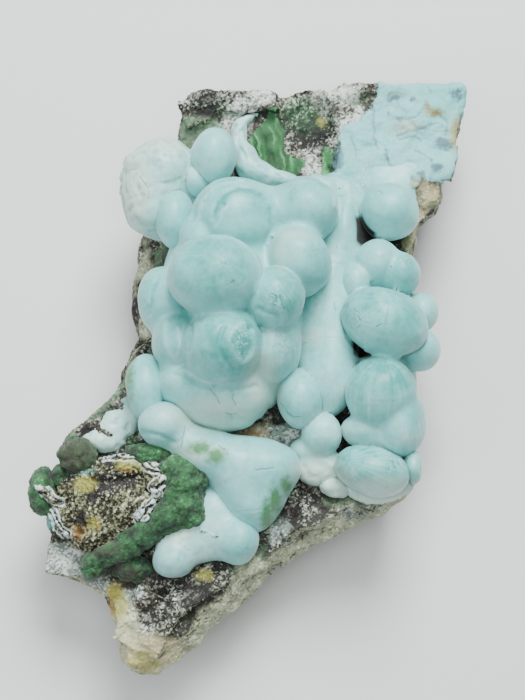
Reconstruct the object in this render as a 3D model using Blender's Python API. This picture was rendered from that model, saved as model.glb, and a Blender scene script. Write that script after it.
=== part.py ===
"""Chrysocolla specimen: pale botryoidal chrysocolla and green malachite on a broken plate of matrix rock.

The specimen lies on its back with the lumps up. Everything in it grew together, so it is one solid.
X runs across the plate, Y along it towards its wide end, and Z up. The origin is the middle of the
floor of its box. The tables are in millimetres, and each height is measured from the plate's face.
"""

import math

import bmesh
import bpy
import numpy as np
from mathutils import Matrix, Vector

NODE = "chrysocolla_specimen"
MM = 0.001

# Plate
FACE_Z = 22.0  # height of the plate's grown face over the floor
X_MIDDLE = 0.4  # middle of the box in the tables' coordinates
Y_MIDDLE = 1.8
PLATE_VOXEL = 1.1
ROUGHNESS = 2.2  # depth of the broken rock's hollows
ROUGHNESS_SCALE = 9.0
CHIP_DEPTH = 1.5
CHIP_SCALE = 4.0

# Whole solid
VOXEL = 0.7
TARGET_TRIANGLES = 9500
SNAP = 0.25  # points this near the floor are put on it

# Rim of the plate's face, counterclockwise from the tip: x, y, drop of the rim below the face, and
# flare, how far the side stands out beyond the rim lower down. The flared sides face the tip.
RIM = (
    (-24.5, -59.0, 2.5, 1.5),
    (-20.5, -58.0, 2.0, 3.5),
    (-14.5, -53.0, 1.0, 4.0),
    (-7.0, -46.5, 0.5, 4.0),
    (-0.5, -41.5, 0.5, 3.5),
    (2.5, -37.5, 1.0, 4.0),
    (10.0, -33.0, 1.0, 3.5),
    (19.5, -28.0, 1.0, 3.5),
    (28.0, -25.5, 1.0, 2.5),
    (32.5, -22.5, 0.5, 1.5),
    (33.0, -14.0, 1.0, 1.0),
    (31.5, -4.0, 1.0, 1.5),
    (32.5, 8.0, 1.0, 1.0),
    (33.0, 18.0, 1.0, 1.0),
    (34.0, 27.0, 0.5, 1.0),
    (35.0, 32.0, 0.0, 1.0),
    (38.2, 36.5, 0.0, 1.0),
    (40.3, 39.5, 0.0, 0.5),
    (41.0, 46.5, 0.0, 0.5),
    (43.6, 53.5, 0.0, 1.0),
    (45.6, 59.0, 0.0, 0.5),
    (45.8, 63.2, 0.0, 0.5),
    (42.5, 64.2, 0.0, 0.5),
    (38.5, 63.2, 0.0, 0.5),
    (32.5, 61.9, 0.0, 0.5),
    (27.6, 63.2, 0.0, 0.5),
    (24.8, 61.4, 0.3, 0.5),
    (21.6, 62.6, 0.0, 0.5),
    (19.7, 64.6, 0.0, 0.5),
    (17.0, 62.4, 0.3, 0.5),
    (12.0, 63.4, 0.5, 0.5),
    (6.6, 61.4, 1.0, 0.5),
    (0.0, 62.8, 0.0, 0.5),
    (-6.6, 61.8, 0.0, 0.5),
    (-9.5, 62.9, 0.0, 0.5),
    (-13.2, 61.2, 0.5, 0.5),
    (-14.9, 57.8, 0.5, 0.5),
    (-15.5, 51.0, 1.0, 1.0),
    (-18.0, 44.0, 1.0, 1.0),
    (-20.0, 36.0, 1.5, 1.0),
    (-19.0, 29.0, 1.5, 0.5),
    (-18.0, 23.0, 1.0, 0.5),
    (-19.5, 16.0, 1.0, 1.0),
    (-20.5, 9.5, 0.5, 1.0),
    (-25.0, 4.0, 0.5, 0.5),
    (-28.5, -3.0, 0.5, 0.5),
    (-33.5, -8.0, 0.5, 0.5),
    (-38.0, -14.0, 0.5, 0.5),
    (-39.5, -19.0, 1.0, 1.0),
    (-40.0, -25.0, 1.5, 1.5),
    (-40.3, -31.0, 2.0, 1.5),
    (-41.0, -35.5, 3.0, 1.0),
    (-39.2, -38.8, 3.0, 1.0),
    (-36.5, -41.0, 3.0, 1.0),
    (-32.5, -42.6, 3.0, 1.0),
    (-29.4, -44.5, 2.0, 1.0),
    (-27.4, -50.0, 1.5, 1.5),
    (-26.0, -55.5, 2.0, 1.5),
)
# Height of each ring of the plate's side over the floor, its share of the flare, and its inset
SIDE_RINGS = ((15.0, 1.0, 0.0), (8.5, 0.5, 2.5), (2.5, 0.0, 11.0))

# Blocks and steps of the rock: x, y, height of the middle, half sizes, turn and tilt in degrees
ROCK_BLOCKS = (
    ("top left ridge", -3.5, 59.6, -1.0, 9.4, 2.6, 2.2, 2, 8),
    ("top left corner", -11.6, 57.5, -1.6, 3.2, 3.6, 2.0, 20, -12),
    ("upper sheet", 32.0, 53.5, -1.4, 12.0, 10.0, 2.6, -4, 3),
    ("upper sheet left", 21.5, 56.5, -1.7, 4.5, 6.5, 2.5, 14, -2),
    ("upper sheet low", 21.0, 46.0, -1.6, 3.5, 6.0, 2.4, -16, 3),
    ("upper sheet neck", 27.5, 41.5, -1.4, 9.5, 7.0, 2.4, 14, 0),
    ("left ledge", -31.5, -11.0, -2.2, 8.0, 3.5, 3.2, 42, 0),
    ("left shoulder", -36.0, -33.0, -5.8, 5.0, 8.0, 4.0, -12, 10),
    ("tip block", -20.5, -50.0, -3.2, 5.5, 6.5, 3.6, -28, 10),
    ("tip ridge", -10.5, -44.0, -2.0, 8.0, 3.0, 2.6, 36, -10),
    ("foot ridge", 14.0, -28.5, -2.4, 8.5, 2.2, 2.8, 25, -8),
)

# Swellings of the underside, whose flat worn tops the specimen rests on: x, y and radii
UNDERSIDE = (
    (4.0, 20.0, 30.0, 33.0),
    (14.0, 42.0, 21.0, 17.0),
    (-1.0, -1.0, 27.0, 24.0),
    (-12.0, -21.0, 25.0, 22.0),
    (-17.0, -38.0, 12.0, 15.0),
    (13.0, -12.0, 17.0, 16.0),
)
UNDERSIDE_DEPTH = 12.0
UNDERSIDE_MIDDLE = 9.0

# Grown lumps: x, y, height of the widest part, radii in x, y and z, turn about Z
CROWN = (
    ("crown core", -3.0, 17.0, 0.0, 15.0, 22.0, 17.0, 10),
    ("crown core low", -5.0, 2.0, -2.0, 14.0, 11.0, 14.0, 0),
    ("crown top left", -2.6, 31.2, 10.0, 9.9, 8.8, 11.0, 0),
    ("crown shoulder", -10.0, 27.5, 9.0, 5.0, 5.5, 8.0, 0),
    ("crown top right", 11.4, 33.0, 9.0, 7.2, 7.0, 10.5, 0),
    ("crown right", 9.9, 22.2, 12.0, 6.4, 7.4, 9.5, 20),
    ("crown summit", -7.0, 17.3, 19.0, 9.6, 8.3, 11.0, -6),
    ("crown left", -17.2, 14.6, 5.0, 6.0, 7.6, 10.0, 12),
    ("crown middle right", 5.0, 13.2, 15.5, 6.0, 6.4, 9.5, 0),
    ("crown middle", -5.4, 4.4, 14.0, 8.2, 8.0, 11.0, 0),
    ("crown lower right", 4.4, 4.6, 7.5, 6.1, 7.4, 10.5, -8),
    ("crown lower left", -14.8, 6.4, 6.0, 5.2, 6.6, 10.0, 0),
    ("crown foot", -5.8, -2.5, 4.0, 11.2, 9.2, 11.5, 0),
    ("crown foot left", -15.0, -1.6, 3.0, 4.4, 5.3, 9.0, 0),
)
SLOPE = (
    ("slope head", 19.0, 33.5, -3.0, 8.5, 10.0, 6.0, 0),
    ("slope sheet high", 17.2, 27.5, 0.0, 5.6, 10.0, 8.0, 0),
    ("slope column", 19.4, 30.2, 3.6, 3.2, 6.6, 6.0, 0),
    ("slope sheet", 16.0, 14.0, 0.0, 7.4, 13.0, 9.4, 4),
    ("slope foot", 16.0, 0.6, 0.8, 6.4, 9.6, 8.8, -4),
    ("slope ball upper", 10.2, -4.9, 3.5, 4.8, 6.3, 8.0, 10),
    ("slope ball lower", 14.7, -12.2, 3.0, 4.2, 4.6, 5.2, 0),
    ("slope back", 12.6, -15.2, 0.8, 4.4, 2.8, 3.4, 0),
    ("slope toe", 13.4, -18.9, 0.2, 4.3, 3.6, 3.0, 0),
    ("slope toe middle", 16.9, -18.2, 0.3, 2.5, 2.5, 2.7, 0),
    ("slope toe right", 17.3, -23.0, 0.2, 3.1, 2.0, 2.3, -14),
    ("drape crest", -1.2, 55.6, -1.5, 3.4, 1.0, 1.9, 36),
    ("drape shoulder", -2.4, 51.2, -0.5, 1.7, 4.4, 2.6, -6),
    ("drape fold", -0.9, 46.9, 0.3, 2.4, 3.7, 3.4, 10),
    ("drape bulge", 1.0, 44.0, 0.6, 4.2, 2.8, 3.8, -18),
    ("drape lip", 5.4, 42.6, 0.6, 4.2, 1.9, 3.0, -14),
    ("drape hem", 14.0, 40.9, 0.4, 5.6, 2.2, 2.8, 0),
)
RIGHT_BANK = (
    ("bank core", 27.5, 4.0, -2.0, 7.0, 26.0, 8.0, 2),
    ("bank sheet", 30.5, 41.5, -3.6, 8.5, 8.5, 5.6, 0),
    ("bank top ball", 28.8, 34.3, 4.5, 6.3, 5.9, 7.0, 0),
    ("bank wedge", 21.8, 19.0, 4.0, 3.7, 4.2, 6.6, 0),
    ("bank upper", 26.4, 23.0, 4.6, 5.4, 5.1, 7.2, -10),
    ("bank upper right", 31.1, 20.9, 5.2, 4.2, 4.6, 6.6, 0),
    ("bank disc", 27.6, 9.9, 9.6, 9.2, 7.1, 9.0, -20),
    ("bank back upper", 35.4, 13.2, 2.6, 3.5, 4.0, 5.0, 0),
    ("bank back lower", 34.9, 5.3, 3.4, 4.3, 4.5, 5.2, 0),
    ("bank middle", 26.9, -4.4, 7.0, 7.4, 7.7, 9.5, -8),
    ("bank lower", 30.4, -9.8, 4.5, 5.6, 7.1, 8.5, 0),
    ("bank lower tail", 24.3, -11.8, 3.0, 6.0, 3.8, 6.8, -8),
    ("bank foot shell", 27.4, -21.6, 0.5, 7.8, 4.2, 5.0, 16),
    ("bank foot", 24.8, -20.0, 4.5, 7.6, 5.1, 7.0, -18),
    ("bank foot right", 33.2, -19.1, 2.0, 1.9, 3.7, 5.0, 0),
)
UPPER_LEFT = (
    ("upper left core", -14.0, 38.5, -2.0, 9.0, 10.0, 8.0, 0),
    ("upper left ball", -17.7, 43.0, 5.5, 6.4, 6.8, 8.0, 0),
    ("upper left edge", -21.6, 40.0, 3.5, 5.0, 7.0, 7.0, 0),
    ("upper left low", -20.4, 34.4, 3.5, 4.8, 5.0, 7.0, 0),
    ("upper left inner", -15.4, 32.0, 6.0, 4.1, 6.2, 7.5, 0),
    ("upper left bead", -11.6, 40.6, 5.4, 3.2, 3.8, 5.6, 30),
    ("upper ball", -7.6, 45.4, 8.0, 5.0, 6.0, 7.5, 0),
)
SADDLE = (
    ("saddle head", -17.5, -10.9, 5.5, 5.3, 4.7, 7.0, 0),
    ("saddle neck", -11.4, -15.2, 3.6, 6.0, 3.7, 6.0, -26),
    ("saddle body left", -5.2, -17.6, 3.4, 7.2, 4.5, 7.2, -18),
    ("saddle body right", 3.8, -19.0, 3.4, 6.5, 5.1, 7.6, -10),
    ("saddle body low", -0.2, -23.0, 2.4, 6.2, 5.4, 6.4, -20),
    ("saddle tip", 0.6, -27.2, 1.5, 3.9, 4.7, 5.0, 10),
)
FEET = (
    ("foot flank", -7.7, -28.4, 1.4, 5.0, 6.2, 5.4, 35),
    ("foot sheet", -10.4, -33.5, 0.6, 7.0, 4.9, 4.7, 4),
    ("foot ball right", -2.6, -34.2, 1.9, 4.4, 5.0, 6.0, 0),
    ("foot back", -14.6, -33.8, 0.4, 4.8, 3.4, 4.4, 12),
    ("foot ball left", -15.5, -37.8, 1.4, 4.1, 3.6, 5.2, -10),
)
LEFT_LEDGE = (
    ("ledge ball", -21.4, -2.8, 4.0, 4.1, 6.8, 6.5, 0),
    ("ledge hump", -27.2, -8.8, -1.8, 5.8, 4.0, 2.9, 40),
    ("ledge skirt", -30.2, -12.0, -1.9, 5.4, 3.4, 2.5, 20),
    ("ledge bead", -31.6, -13.4, -0.2, 3.4, 1.8, 2.1, -12),
)
MALACHITE = (
    ("dome upper lobe", -20.6, -17.0, 4.2, 5.2, 2.8, 4.6, -6),
    ("dome upper right lobe", -16.2, -20.0, 4.2, 3.9, 3.4, 5.0, -14),
    ("dome right lobe", -12.9, -22.0, 4.5, 4.3, 4.9, 5.6, 0),
    ("dome right middle", -13.6, -24.9, 3.8, 4.3, 3.2, 5.4, 0),
    ("dome right low lobe", -12.9, -27.6, 4.0, 4.2, 3.8, 5.4, 0),
    ("dome right knob", -10.8, -29.4, 2.6, 2.4, 2.2, 4.6, 0),
    ("dome lower right lobe", -16.6, -29.6, 3.4, 4.2, 3.4, 5.4, 20),
    ("dome band", -20.8, -32.0, 2.6, 4.4, 3.2, 5.2, 35),
    ("dome lower lobe", -24.6, -34.6, 1.6, 4.0, 3.0, 5.2, 24),
    ("dome low band", -28.2, -36.8, 0.2, 3.6, 2.7, 4.8, 30),
    ("dome low left lobe", -31.4, -38.4, -1.4, 3.6, 2.7, 4.8, 35),
    ("dome low right lobe", -24.2, -39.4, -2.2, 4.2, 2.8, 4.6, 0),
    ("dome upper left lobe", -35.6, -16.4, 1.0, 4.0, 3.7, 5.0, 0),
    ("dome left lobe", -42.6, -23.3, -1.0, 3.0, 4.9, 5.2, 0),
    ("dome left web", -39.2, -20.6, -1.4, 2.6, 3.4, 4.0, -30),
)
BROKEN_CORE = (
    ("dome core", -27.5, -26.5, -3.0, 12.0, 10.4, 9.5, 0),
    ("broken bed", -28.0, -25.0, 0.5, 10.0, 8.5, 5.6, 12),
    ("broken rim", -19.0, -21.5, 4.8, 2.4, 4.4, 3.6, 14),
    ("broken rim low", -20.8, -27.3, 4.2, 2.2, 3.6, 3.6, -10),
    ("broken crest", -27.0, -19.8, 4.2, 6.0, 2.6, 3.2, 12),
    ("broken middle", -28.5, -25.5, 3.5, 4.5, 2.2, 3.4, -20),
    ("broken left", -36.0, -23.0, 0.6, 4.2, 2.6, 3.4, 30),
    ("broken left crest", -41.4, -24.6, 0.6, 3.8, 1.3, 3.0, -38),
    ("broken low", -31.0, -32.0, 0.5, 5.8, 4.2, 3.8, 10),
    ("broken low left", -37.6, -29.0, -1.5, 4.4, 4.0, 4.4, 0),
)
LUMP_GROUPS = (CROWN, SLOPE, RIGHT_BANK, UPPER_LEFT, SADDLE, FEET, LEFT_LEDGE, MALACHITE, BROKEN_CORE)

# Hollows in the plate's face: x, y, height, radii, turn
HOLLOWS = (
    ("fibrous malachite bed", 5.2, 51.4, 1.2, 5.4, 6.6, 1.7, 24),
    ("speckled bed", 13.5, 55.0, 1.4, 5.5, 7.0, 2.0, 0),
    ("pit by the ledge", -24.0, -12.0, 3.2, 2.6, 2.2, 3.6, 0),
    ("notch under the summit", -18.5, 25.5, 1.0, 2.6, 3.0, 4.0, 0),
)


def place(x, y, height):
    """World position in metres of a place on the plate."""
    return Vector((x - X_MIDDLE, y - Y_MIDDLE, FACE_Z + height)) * MM


def new_object(name, mesh):
    ob = bpy.data.objects.new(name, mesh)
    bpy.context.scene.collection.objects.link(ob)
    return ob


def mesh_from(bm, name):
    bmesh.ops.recalc_face_normals(bm, faces=bm.faces[:])
    mesh = bpy.data.meshes.new(name)
    bm.to_mesh(mesh)
    bm.free()
    return mesh


def evaluated(ob):
    """The object's mesh with its modifiers applied, after which the object is removed."""
    graph = bpy.context.evaluated_depsgraph_get()
    mesh = bpy.data.meshes.new_from_object(ob.evaluated_get(graph))
    bpy.data.objects.remove(ob)
    return mesh


def outward(points):
    """Unit vector out of a counterclockwise outline at each of its points."""
    after = np.roll(points, -1, axis=0)
    before = np.roll(points, 1, axis=0)
    along = after - before
    out = np.stack([along[:, 1], -along[:, 0]], axis=1)
    return out / np.linalg.norm(out, axis=1, keepdims=True)


def plate_bmesh():
    """The slab of rock: rings of points down its sides, bridged, with both ends filled."""
    table = np.array(RIM)
    rim = table[:, :2]
    out = outward(rim)
    centre = rim.mean(axis=0)
    rings = [[place(x, y, -drop) for x, y, drop, _ in RIM]]
    for over_floor, share, inset in SIDE_RINGS:
        inward = centre - rim
        inward /= np.linalg.norm(inward, axis=1, keepdims=True)
        ring = rim + out * table[:, 3:4] * share + inward * inset
        rings.append([place(x, y, over_floor - FACE_Z) for x, y in ring])
    bm = bmesh.new()
    loops = [[bm.verts.new(point) for point in ring] for ring in rings]
    count = len(RIM)
    for upper, lower in zip(loops, loops[1:]):
        for i in range(count):
            bm.faces.new((upper[i], lower[i], lower[(i + 1) % count], upper[(i + 1) % count]))
    bm.faces.new(loops[0])
    bm.faces.new(list(reversed(loops[-1])))
    bmesh.ops.triangulate(bm, faces=bm.faces[:])
    return bm


def add_block(bm, x, y, height, half_x, half_y, half_z, turn, tilt):
    """A block of rock, turned about Z and tilted about its own length."""
    turned = Matrix.Rotation(math.radians(turn), 4, "Z") @ Matrix.Rotation(math.radians(tilt), 4, "X")
    size = Matrix.Diagonal((2 * half_x * MM, 2 * half_y * MM, 2 * half_z * MM, 1.0))
    bmesh.ops.create_cube(bm, size=1.0, matrix=Matrix.Translation(place(x, y, height)) @ turned @ size)


def add_lump(bm, x, y, height, radius_x, radius_y, radius_z, turn=0):
    """A rounded lump, turned about Z."""
    turned = Matrix.Rotation(math.radians(turn), 4, "Z")
    size = Matrix.Diagonal((radius_x * MM, radius_y * MM, radius_z * MM, 1.0))
    where = Matrix.Translation(place(x, y, height)) @ turned @ size
    bmesh.ops.create_icosphere(bm, subdivisions=4, radius=1.0, matrix=where)


def add_modifier(ob, name, kind, **settings):
    modifier = ob.modifiers.new(name, kind)
    for key, value in settings.items():
        setattr(modifier, key, value)
    return modifier


def rough_rock():
    """The plate and its blocks as one shell, roughened all over like broken rock."""
    bm = plate_bmesh()
    for block in ROCK_BLOCKS:
        add_block(bm, *block[1:])
    for x, y, radius_x, radius_y in UNDERSIDE:
        add_lump(bm, x, y, UNDERSIDE_MIDDLE - FACE_Z, radius_x, radius_y, UNDERSIDE_DEPTH)
    ob = new_object("rock", mesh_from(bm, "rock"))
    add_modifier(ob, "shell", "REMESH", mode="VOXEL", voxel_size=PLATE_VOXEL * MM)
    for name, kind, scale, depth in (
        ("hollows", "CLOUDS", ROUGHNESS_SCALE, ROUGHNESS),
        ("chips", "VORONOI", CHIP_SCALE, CHIP_DEPTH),
    ):
        texture = bpy.data.textures.new(name, kind)
        texture.noise_scale = scale * MM
        add_modifier(
            ob, name, "DISPLACE", texture=texture, texture_coords="LOCAL", strength=depth * MM, mid_level=0.6
        )
    return evaluated(ob)


def hollow_cutter():
    """The shapes of the hollows as one closed object, to be cut out of the rock."""
    bm = bmesh.new()
    for hollow in HOLLOWS:
        add_lump(bm, *hollow[1:])
    ob = new_object("hollows", mesh_from(bm, "hollows"))
    add_modifier(ob, "shell", "REMESH", mode="VOXEL", voxel_size=VOXEL * MM)
    ob.hide_render = True
    ob.display_type = "WIRE"
    return ob


def grown_together():
    """Rock and lumps as one shell with creases where the lumps meet."""
    bm = bmesh.new()
    bm.from_mesh(rough_rock())
    for group in LUMP_GROUPS:
        for lump in group:
            add_lump(bm, *lump[1:])
    ob = new_object("grown", mesh_from(bm, "grown"))
    cutter = hollow_cutter()
    add_modifier(ob, "shell", "REMESH", mode="VOXEL", voxel_size=VOXEL * MM)
    add_modifier(ob, "hollows", "BOOLEAN", object=cutter, operation="DIFFERENCE", solver="EXACT")
    mesh = evaluated(ob)
    bpy.data.objects.remove(cutter)
    return mesh


def thinned(mesh):
    """The shell with no more triangles than its form needs."""
    ob = new_object("thinned", mesh)
    triangles = sum(len(face.vertices) - 2 for face in mesh.polygons)
    add_modifier(ob, "fewer", "DECIMATE", decimate_type="COLLAPSE", ratio=TARGET_TRIANGLES / triangles)
    return evaluated(ob)


def rested(mesh):
    """The underside cut off flat on the floor."""
    bm = bmesh.new()
    bm.from_mesh(mesh)
    bmesh.ops.bisect_plane(
        bm,
        geom=bm.verts[:] + bm.edges[:] + bm.faces[:],
        dist=SNAP * MM,
        plane_co=(0.0, 0.0, 0.0),
        plane_no=(0.0, 0.0, 1.0),
        use_snap_center=True,
        clear_inner=True,
    )
    open_edges = [edge for edge in bm.edges if edge.is_boundary]
    bmesh.ops.triangle_fill(bm, use_beauty=True, edges=open_edges)
    bmesh.ops.triangulate(bm, faces=bm.faces[:])
    return mesh_from(bm, NODE)


def specimen_material():
    """Waxy, pale blue-green chrysocolla, which covers most of the specimen."""
    material = bpy.data.materials.new("chrysocolla")
    material.use_nodes = True
    shader = material.node_tree.nodes["Principled BSDF"]
    shader.inputs["Base Color"].default_value = (0.43, 0.62, 0.61, 1.0)
    shader.inputs["Roughness"].default_value = 0.45
    shader.inputs["Metallic"].default_value = 0.0
    return material


def main():
    for ob in list(bpy.data.objects):
        bpy.data.objects.remove(ob)
    mesh = rested(thinned(grown_together()))
    specimen = new_object(NODE, mesh)
    mesh.materials.append(specimen_material())
    mesh.shade_smooth()
    mesh.set_sharp_from_angle(angle=math.radians(40.0))


if __name__ == "__main__":
    main()
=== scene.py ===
"""Looks of a chrysocolla specimen: pale botryoidal crust and green malachite on a broken plate of rock.

The specimen lies on its back with the lumps up, in the frame of its solid. X runs across the plate and
Y along it. The tables are in millimetres, and each height is measured from the plate's grown face.
"""

import itertools
import math

import bpy
import numpy as np
from mathutils import Matrix, Vector

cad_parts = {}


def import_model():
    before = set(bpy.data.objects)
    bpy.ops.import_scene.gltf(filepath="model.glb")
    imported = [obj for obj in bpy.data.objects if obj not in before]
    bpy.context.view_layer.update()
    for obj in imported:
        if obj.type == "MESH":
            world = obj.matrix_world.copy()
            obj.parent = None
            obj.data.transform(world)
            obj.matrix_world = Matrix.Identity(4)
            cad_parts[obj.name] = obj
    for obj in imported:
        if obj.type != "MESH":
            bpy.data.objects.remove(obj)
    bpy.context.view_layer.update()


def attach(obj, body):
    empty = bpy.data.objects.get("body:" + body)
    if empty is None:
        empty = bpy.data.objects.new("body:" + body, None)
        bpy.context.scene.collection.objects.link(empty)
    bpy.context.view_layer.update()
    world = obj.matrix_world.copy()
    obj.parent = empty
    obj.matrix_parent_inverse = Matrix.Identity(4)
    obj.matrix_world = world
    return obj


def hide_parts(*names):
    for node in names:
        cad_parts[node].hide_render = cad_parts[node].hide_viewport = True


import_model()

bl_info = {
    "name": "Chrysocolla Specimen",
    "version": (1, 0, 0),
    "blender": (4, 5, 0),
    "location": "3D Viewport > Sidebar > Specimen",
    "description": "Grows the lumps, malachite and rock of a chrysocolla specimen around its solid",
    "category": "Add Mesh",
}

NODE = "chrysocolla_specimen"
BODY = "root"
MM = 0.001
FACE_Z = 22.0  # height of the plate's grown face over the floor
ORIGIN = np.array([0.4, 1.8, -FACE_Z])  # the frame's origin in the tables' coordinates

# Rim of the plate's face, counterclockwise from the tip: x, y, drop of the rim below the face, and
# flare, how far the side stands out beyond the rim lower down
RIM = (
    (-24.5, -59, 2.5, 1.5), (-20.5, -58, 2, 3.5), (-14.5, -53, 1, 4), (-7, -46.5, 0.5, 4),
    (-0.5, -41.5, 0.5, 3.5), (2.5, -37.5, 1, 4), (10, -33, 1, 3.5), (19.5, -28, 1, 3.5),
    (28, -25.5, 1, 2.5), (32.5, -22.5, 0.5, 1.5), (33, -14, 1, 1), (31.5, -4, 1, 1.5), (32.5, 8, 1, 1),
    (33, 18, 1, 1), (34, 27, 0.5, 1), (35, 32, 0, 1), (38.2, 36.5, 0, 1), (40.3, 39.5, 0, 0.5),
    (41, 46.5, 0, 0.5), (43.6, 53.5, 0, 1), (45.6, 59, 0, 0.5), (45.8, 63.2, 0, 0.5), (42.5, 64.2, 0, 0.5),
    (38.5, 63.2, 0, 0.5), (32.5, 61.9, 0, 0.5), (27.6, 63.2, 0, 0.5), (24.8, 61.4, 0.3, 0.5),
    (21.6, 62.6, 0, 0.5), (19.7, 64.6, 0, 0.5), (17, 62.4, 0.3, 0.5), (12, 63.4, 0.5, 0.5),
    (6.6, 61.4, 1, 0.5), (0, 62.8, 0, 0.5), (-6.6, 61.8, 0, 0.5), (-9.5, 62.9, 0, 0.5),
    (-13.2, 61.2, 0.5, 0.5), (-14.9, 57.8, 0.5, 0.5), (-15.5, 51, 1, 1), (-18, 44, 1, 1), (-20, 36, 1.5, 1),
    (-19, 29, 1.5, 0.5), (-18, 23, 1, 0.5), (-19.5, 16, 1, 1), (-20.5, 9.5, 0.5, 1), (-25, 4, 0.5, 0.5),
    (-28.5, -3, 0.5, 0.5), (-33.5, -8, 0.5, 0.5), (-38, -14, 0.5, 0.5), (-39.5, -19, 1, 1),
    (-40, -25, 1.5, 1.5), (-40.3, -31, 2, 1.5), (-41, -35.5, 3, 1), (-39.2, -38.8, 3, 1),
    (-36.5, -41, 3, 1), (-32.5, -42.6, 3, 1), (-29.4, -44.5, 2, 1), (-27.4, -50, 1.5, 1.5),
    (-26, -55.5, 2, 1.5),
)
# Height of each ring of the plate's side over the floor, its share of the flare, and its inset
SIDE_RINGS = ((15, 1, 0), (8.5, 0.5, 2.5), (2.5, 0, 11))
# Blocks and steps of the rock: x, y, height of the middle, half sizes, turn and tilt in degrees
ROCK_BLOCKS = (
    ("top left ridge", -3.5, 59.6, -1, 9.4, 2.6, 2.2, 2, 8),
    ("top left corner", -11.6, 57.5, -1.6, 3.2, 3.6, 2, 20, -12),
    ("upper sheet", 32, 53.5, -1.4, 12, 10, 2.6, -4, 3),
    ("upper sheet left", 21.5, 56.5, -1.7, 4.5, 6.5, 2.5, 14, -2),
    ("upper sheet low", 21, 46, -1.6, 3.5, 6, 2.4, -16, 3),
    ("upper sheet neck", 27.5, 41.5, -1.4, 9.5, 7, 2.4, 14, 0),
    ("left ledge", -31.5, -11, -2.2, 8, 3.5, 3.2, 42, 0),
    ("left shoulder", -36, -33, -5.8, 5, 8, 4, -12, 10),
    ("tip block", -20.5, -50, -3.2, 5.5, 6.5, 3.6, -28, 10),
    ("tip ridge", -10.5, -44, -2, 8, 3, 2.6, 36, -10),
    ("foot ridge", 14, -28.5, -2.4, 8.5, 2.2, 2.8, 25, -8),
)
# Swellings of the underside, which the specimen rests on: x, y and radii
UNDERSIDE = (
    (4, 20, 30, 33), (14, 42, 21, 17), (-1, -1, 27, 24), (-12, -21, 25, 22), (-17, -38, 12, 15),
    (13, -12, 17, 16),
)
UNDERSIDE_DEPTH = 12.0
UNDERSIDE_MIDDLE = 9.0
# Hollows in the plate's face: x, y, height, radii, turn
HOLLOWS = (
    ("fibrous malachite bed", 5.2, 51.4, 1.2, 5.4, 6.6, 1.7, 24),
    ("speckled bed", 13.5, 55, 1.4, 5.5, 7, 2, 0),
    ("pit by the ledge", -24, -12, 3.2, 2.6, 2.2, 3.6, 0),
    ("notch under the summit", -18.5, 25.5, 1, 2.6, 3, 4, 0),
)

# Grown lumps: x, y, height of the widest part, radii in x, y and z, turn about Z, and fillet, the width of
# the soft crease to the lumps before it in its table, or of a groove where it is negative. On the crusted
# lumps, how teal the crown is and how rough and eroded the skin, both from 0 to 1, come last
CROWN = (
    ("crown core", -3, 17, 0, 15, 22, 17, 10, 0, 0.5, 0),
    ("crown core low", -5, 2, -2, 14, 11, 14, 0, 3, 0.5, 0),
    ("crown top left", -2.6, 31.2, 10, 9.9, 8.8, 11, 0, 2, 0.62, 0),
    ("crown shoulder", -10, 27.5, 9, 5, 5.5, 8, 0, 0.9, 0.45, 0),
    ("crown top right", 11.4, 33, 9, 7.2, 7, 10.5, 0, 4.5, 0.64, 0),
    ("crown right", 9.9, 22.2, 12, 6.4, 7.4, 9.5, 20, 1.6, 0.6, 0),
    ("crown summit", -7, 17.3, 19, 9.6, 8.3, 11, -6, 0.9, 0.78, 0),
    ("crown left", -17.2, 14.6, 5, 6, 7.6, 10, 12, 0.9, 0.6, 0),
    ("crown middle right", 5, 13.2, 15.5, 6, 6.4, 9.5, 0, 1.1, 0.75, 0),
    ("crown middle", -5.4, 4.4, 14, 8.2, 8, 11, 0, 1.2, 0.9, 0),
    ("crown lower right", 4.4, 4.6, 7.5, 6.1, 7.4, 10.5, -8, 1.3, 0.5, 0),
    ("crown lower left", -14.8, 6.4, 6, 5.2, 6.6, 10, 0, 1.3, 0.6, 0),
    ("crown foot", -5.8, -2.5, 4, 11.2, 9.2, 11.5, 0, 0.9, 0.62, 0),
    ("crown foot left", -15, -1.6, 3, 4.4, 5.3, 9, 0, 1.6, 0.6, 0),
)
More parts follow.
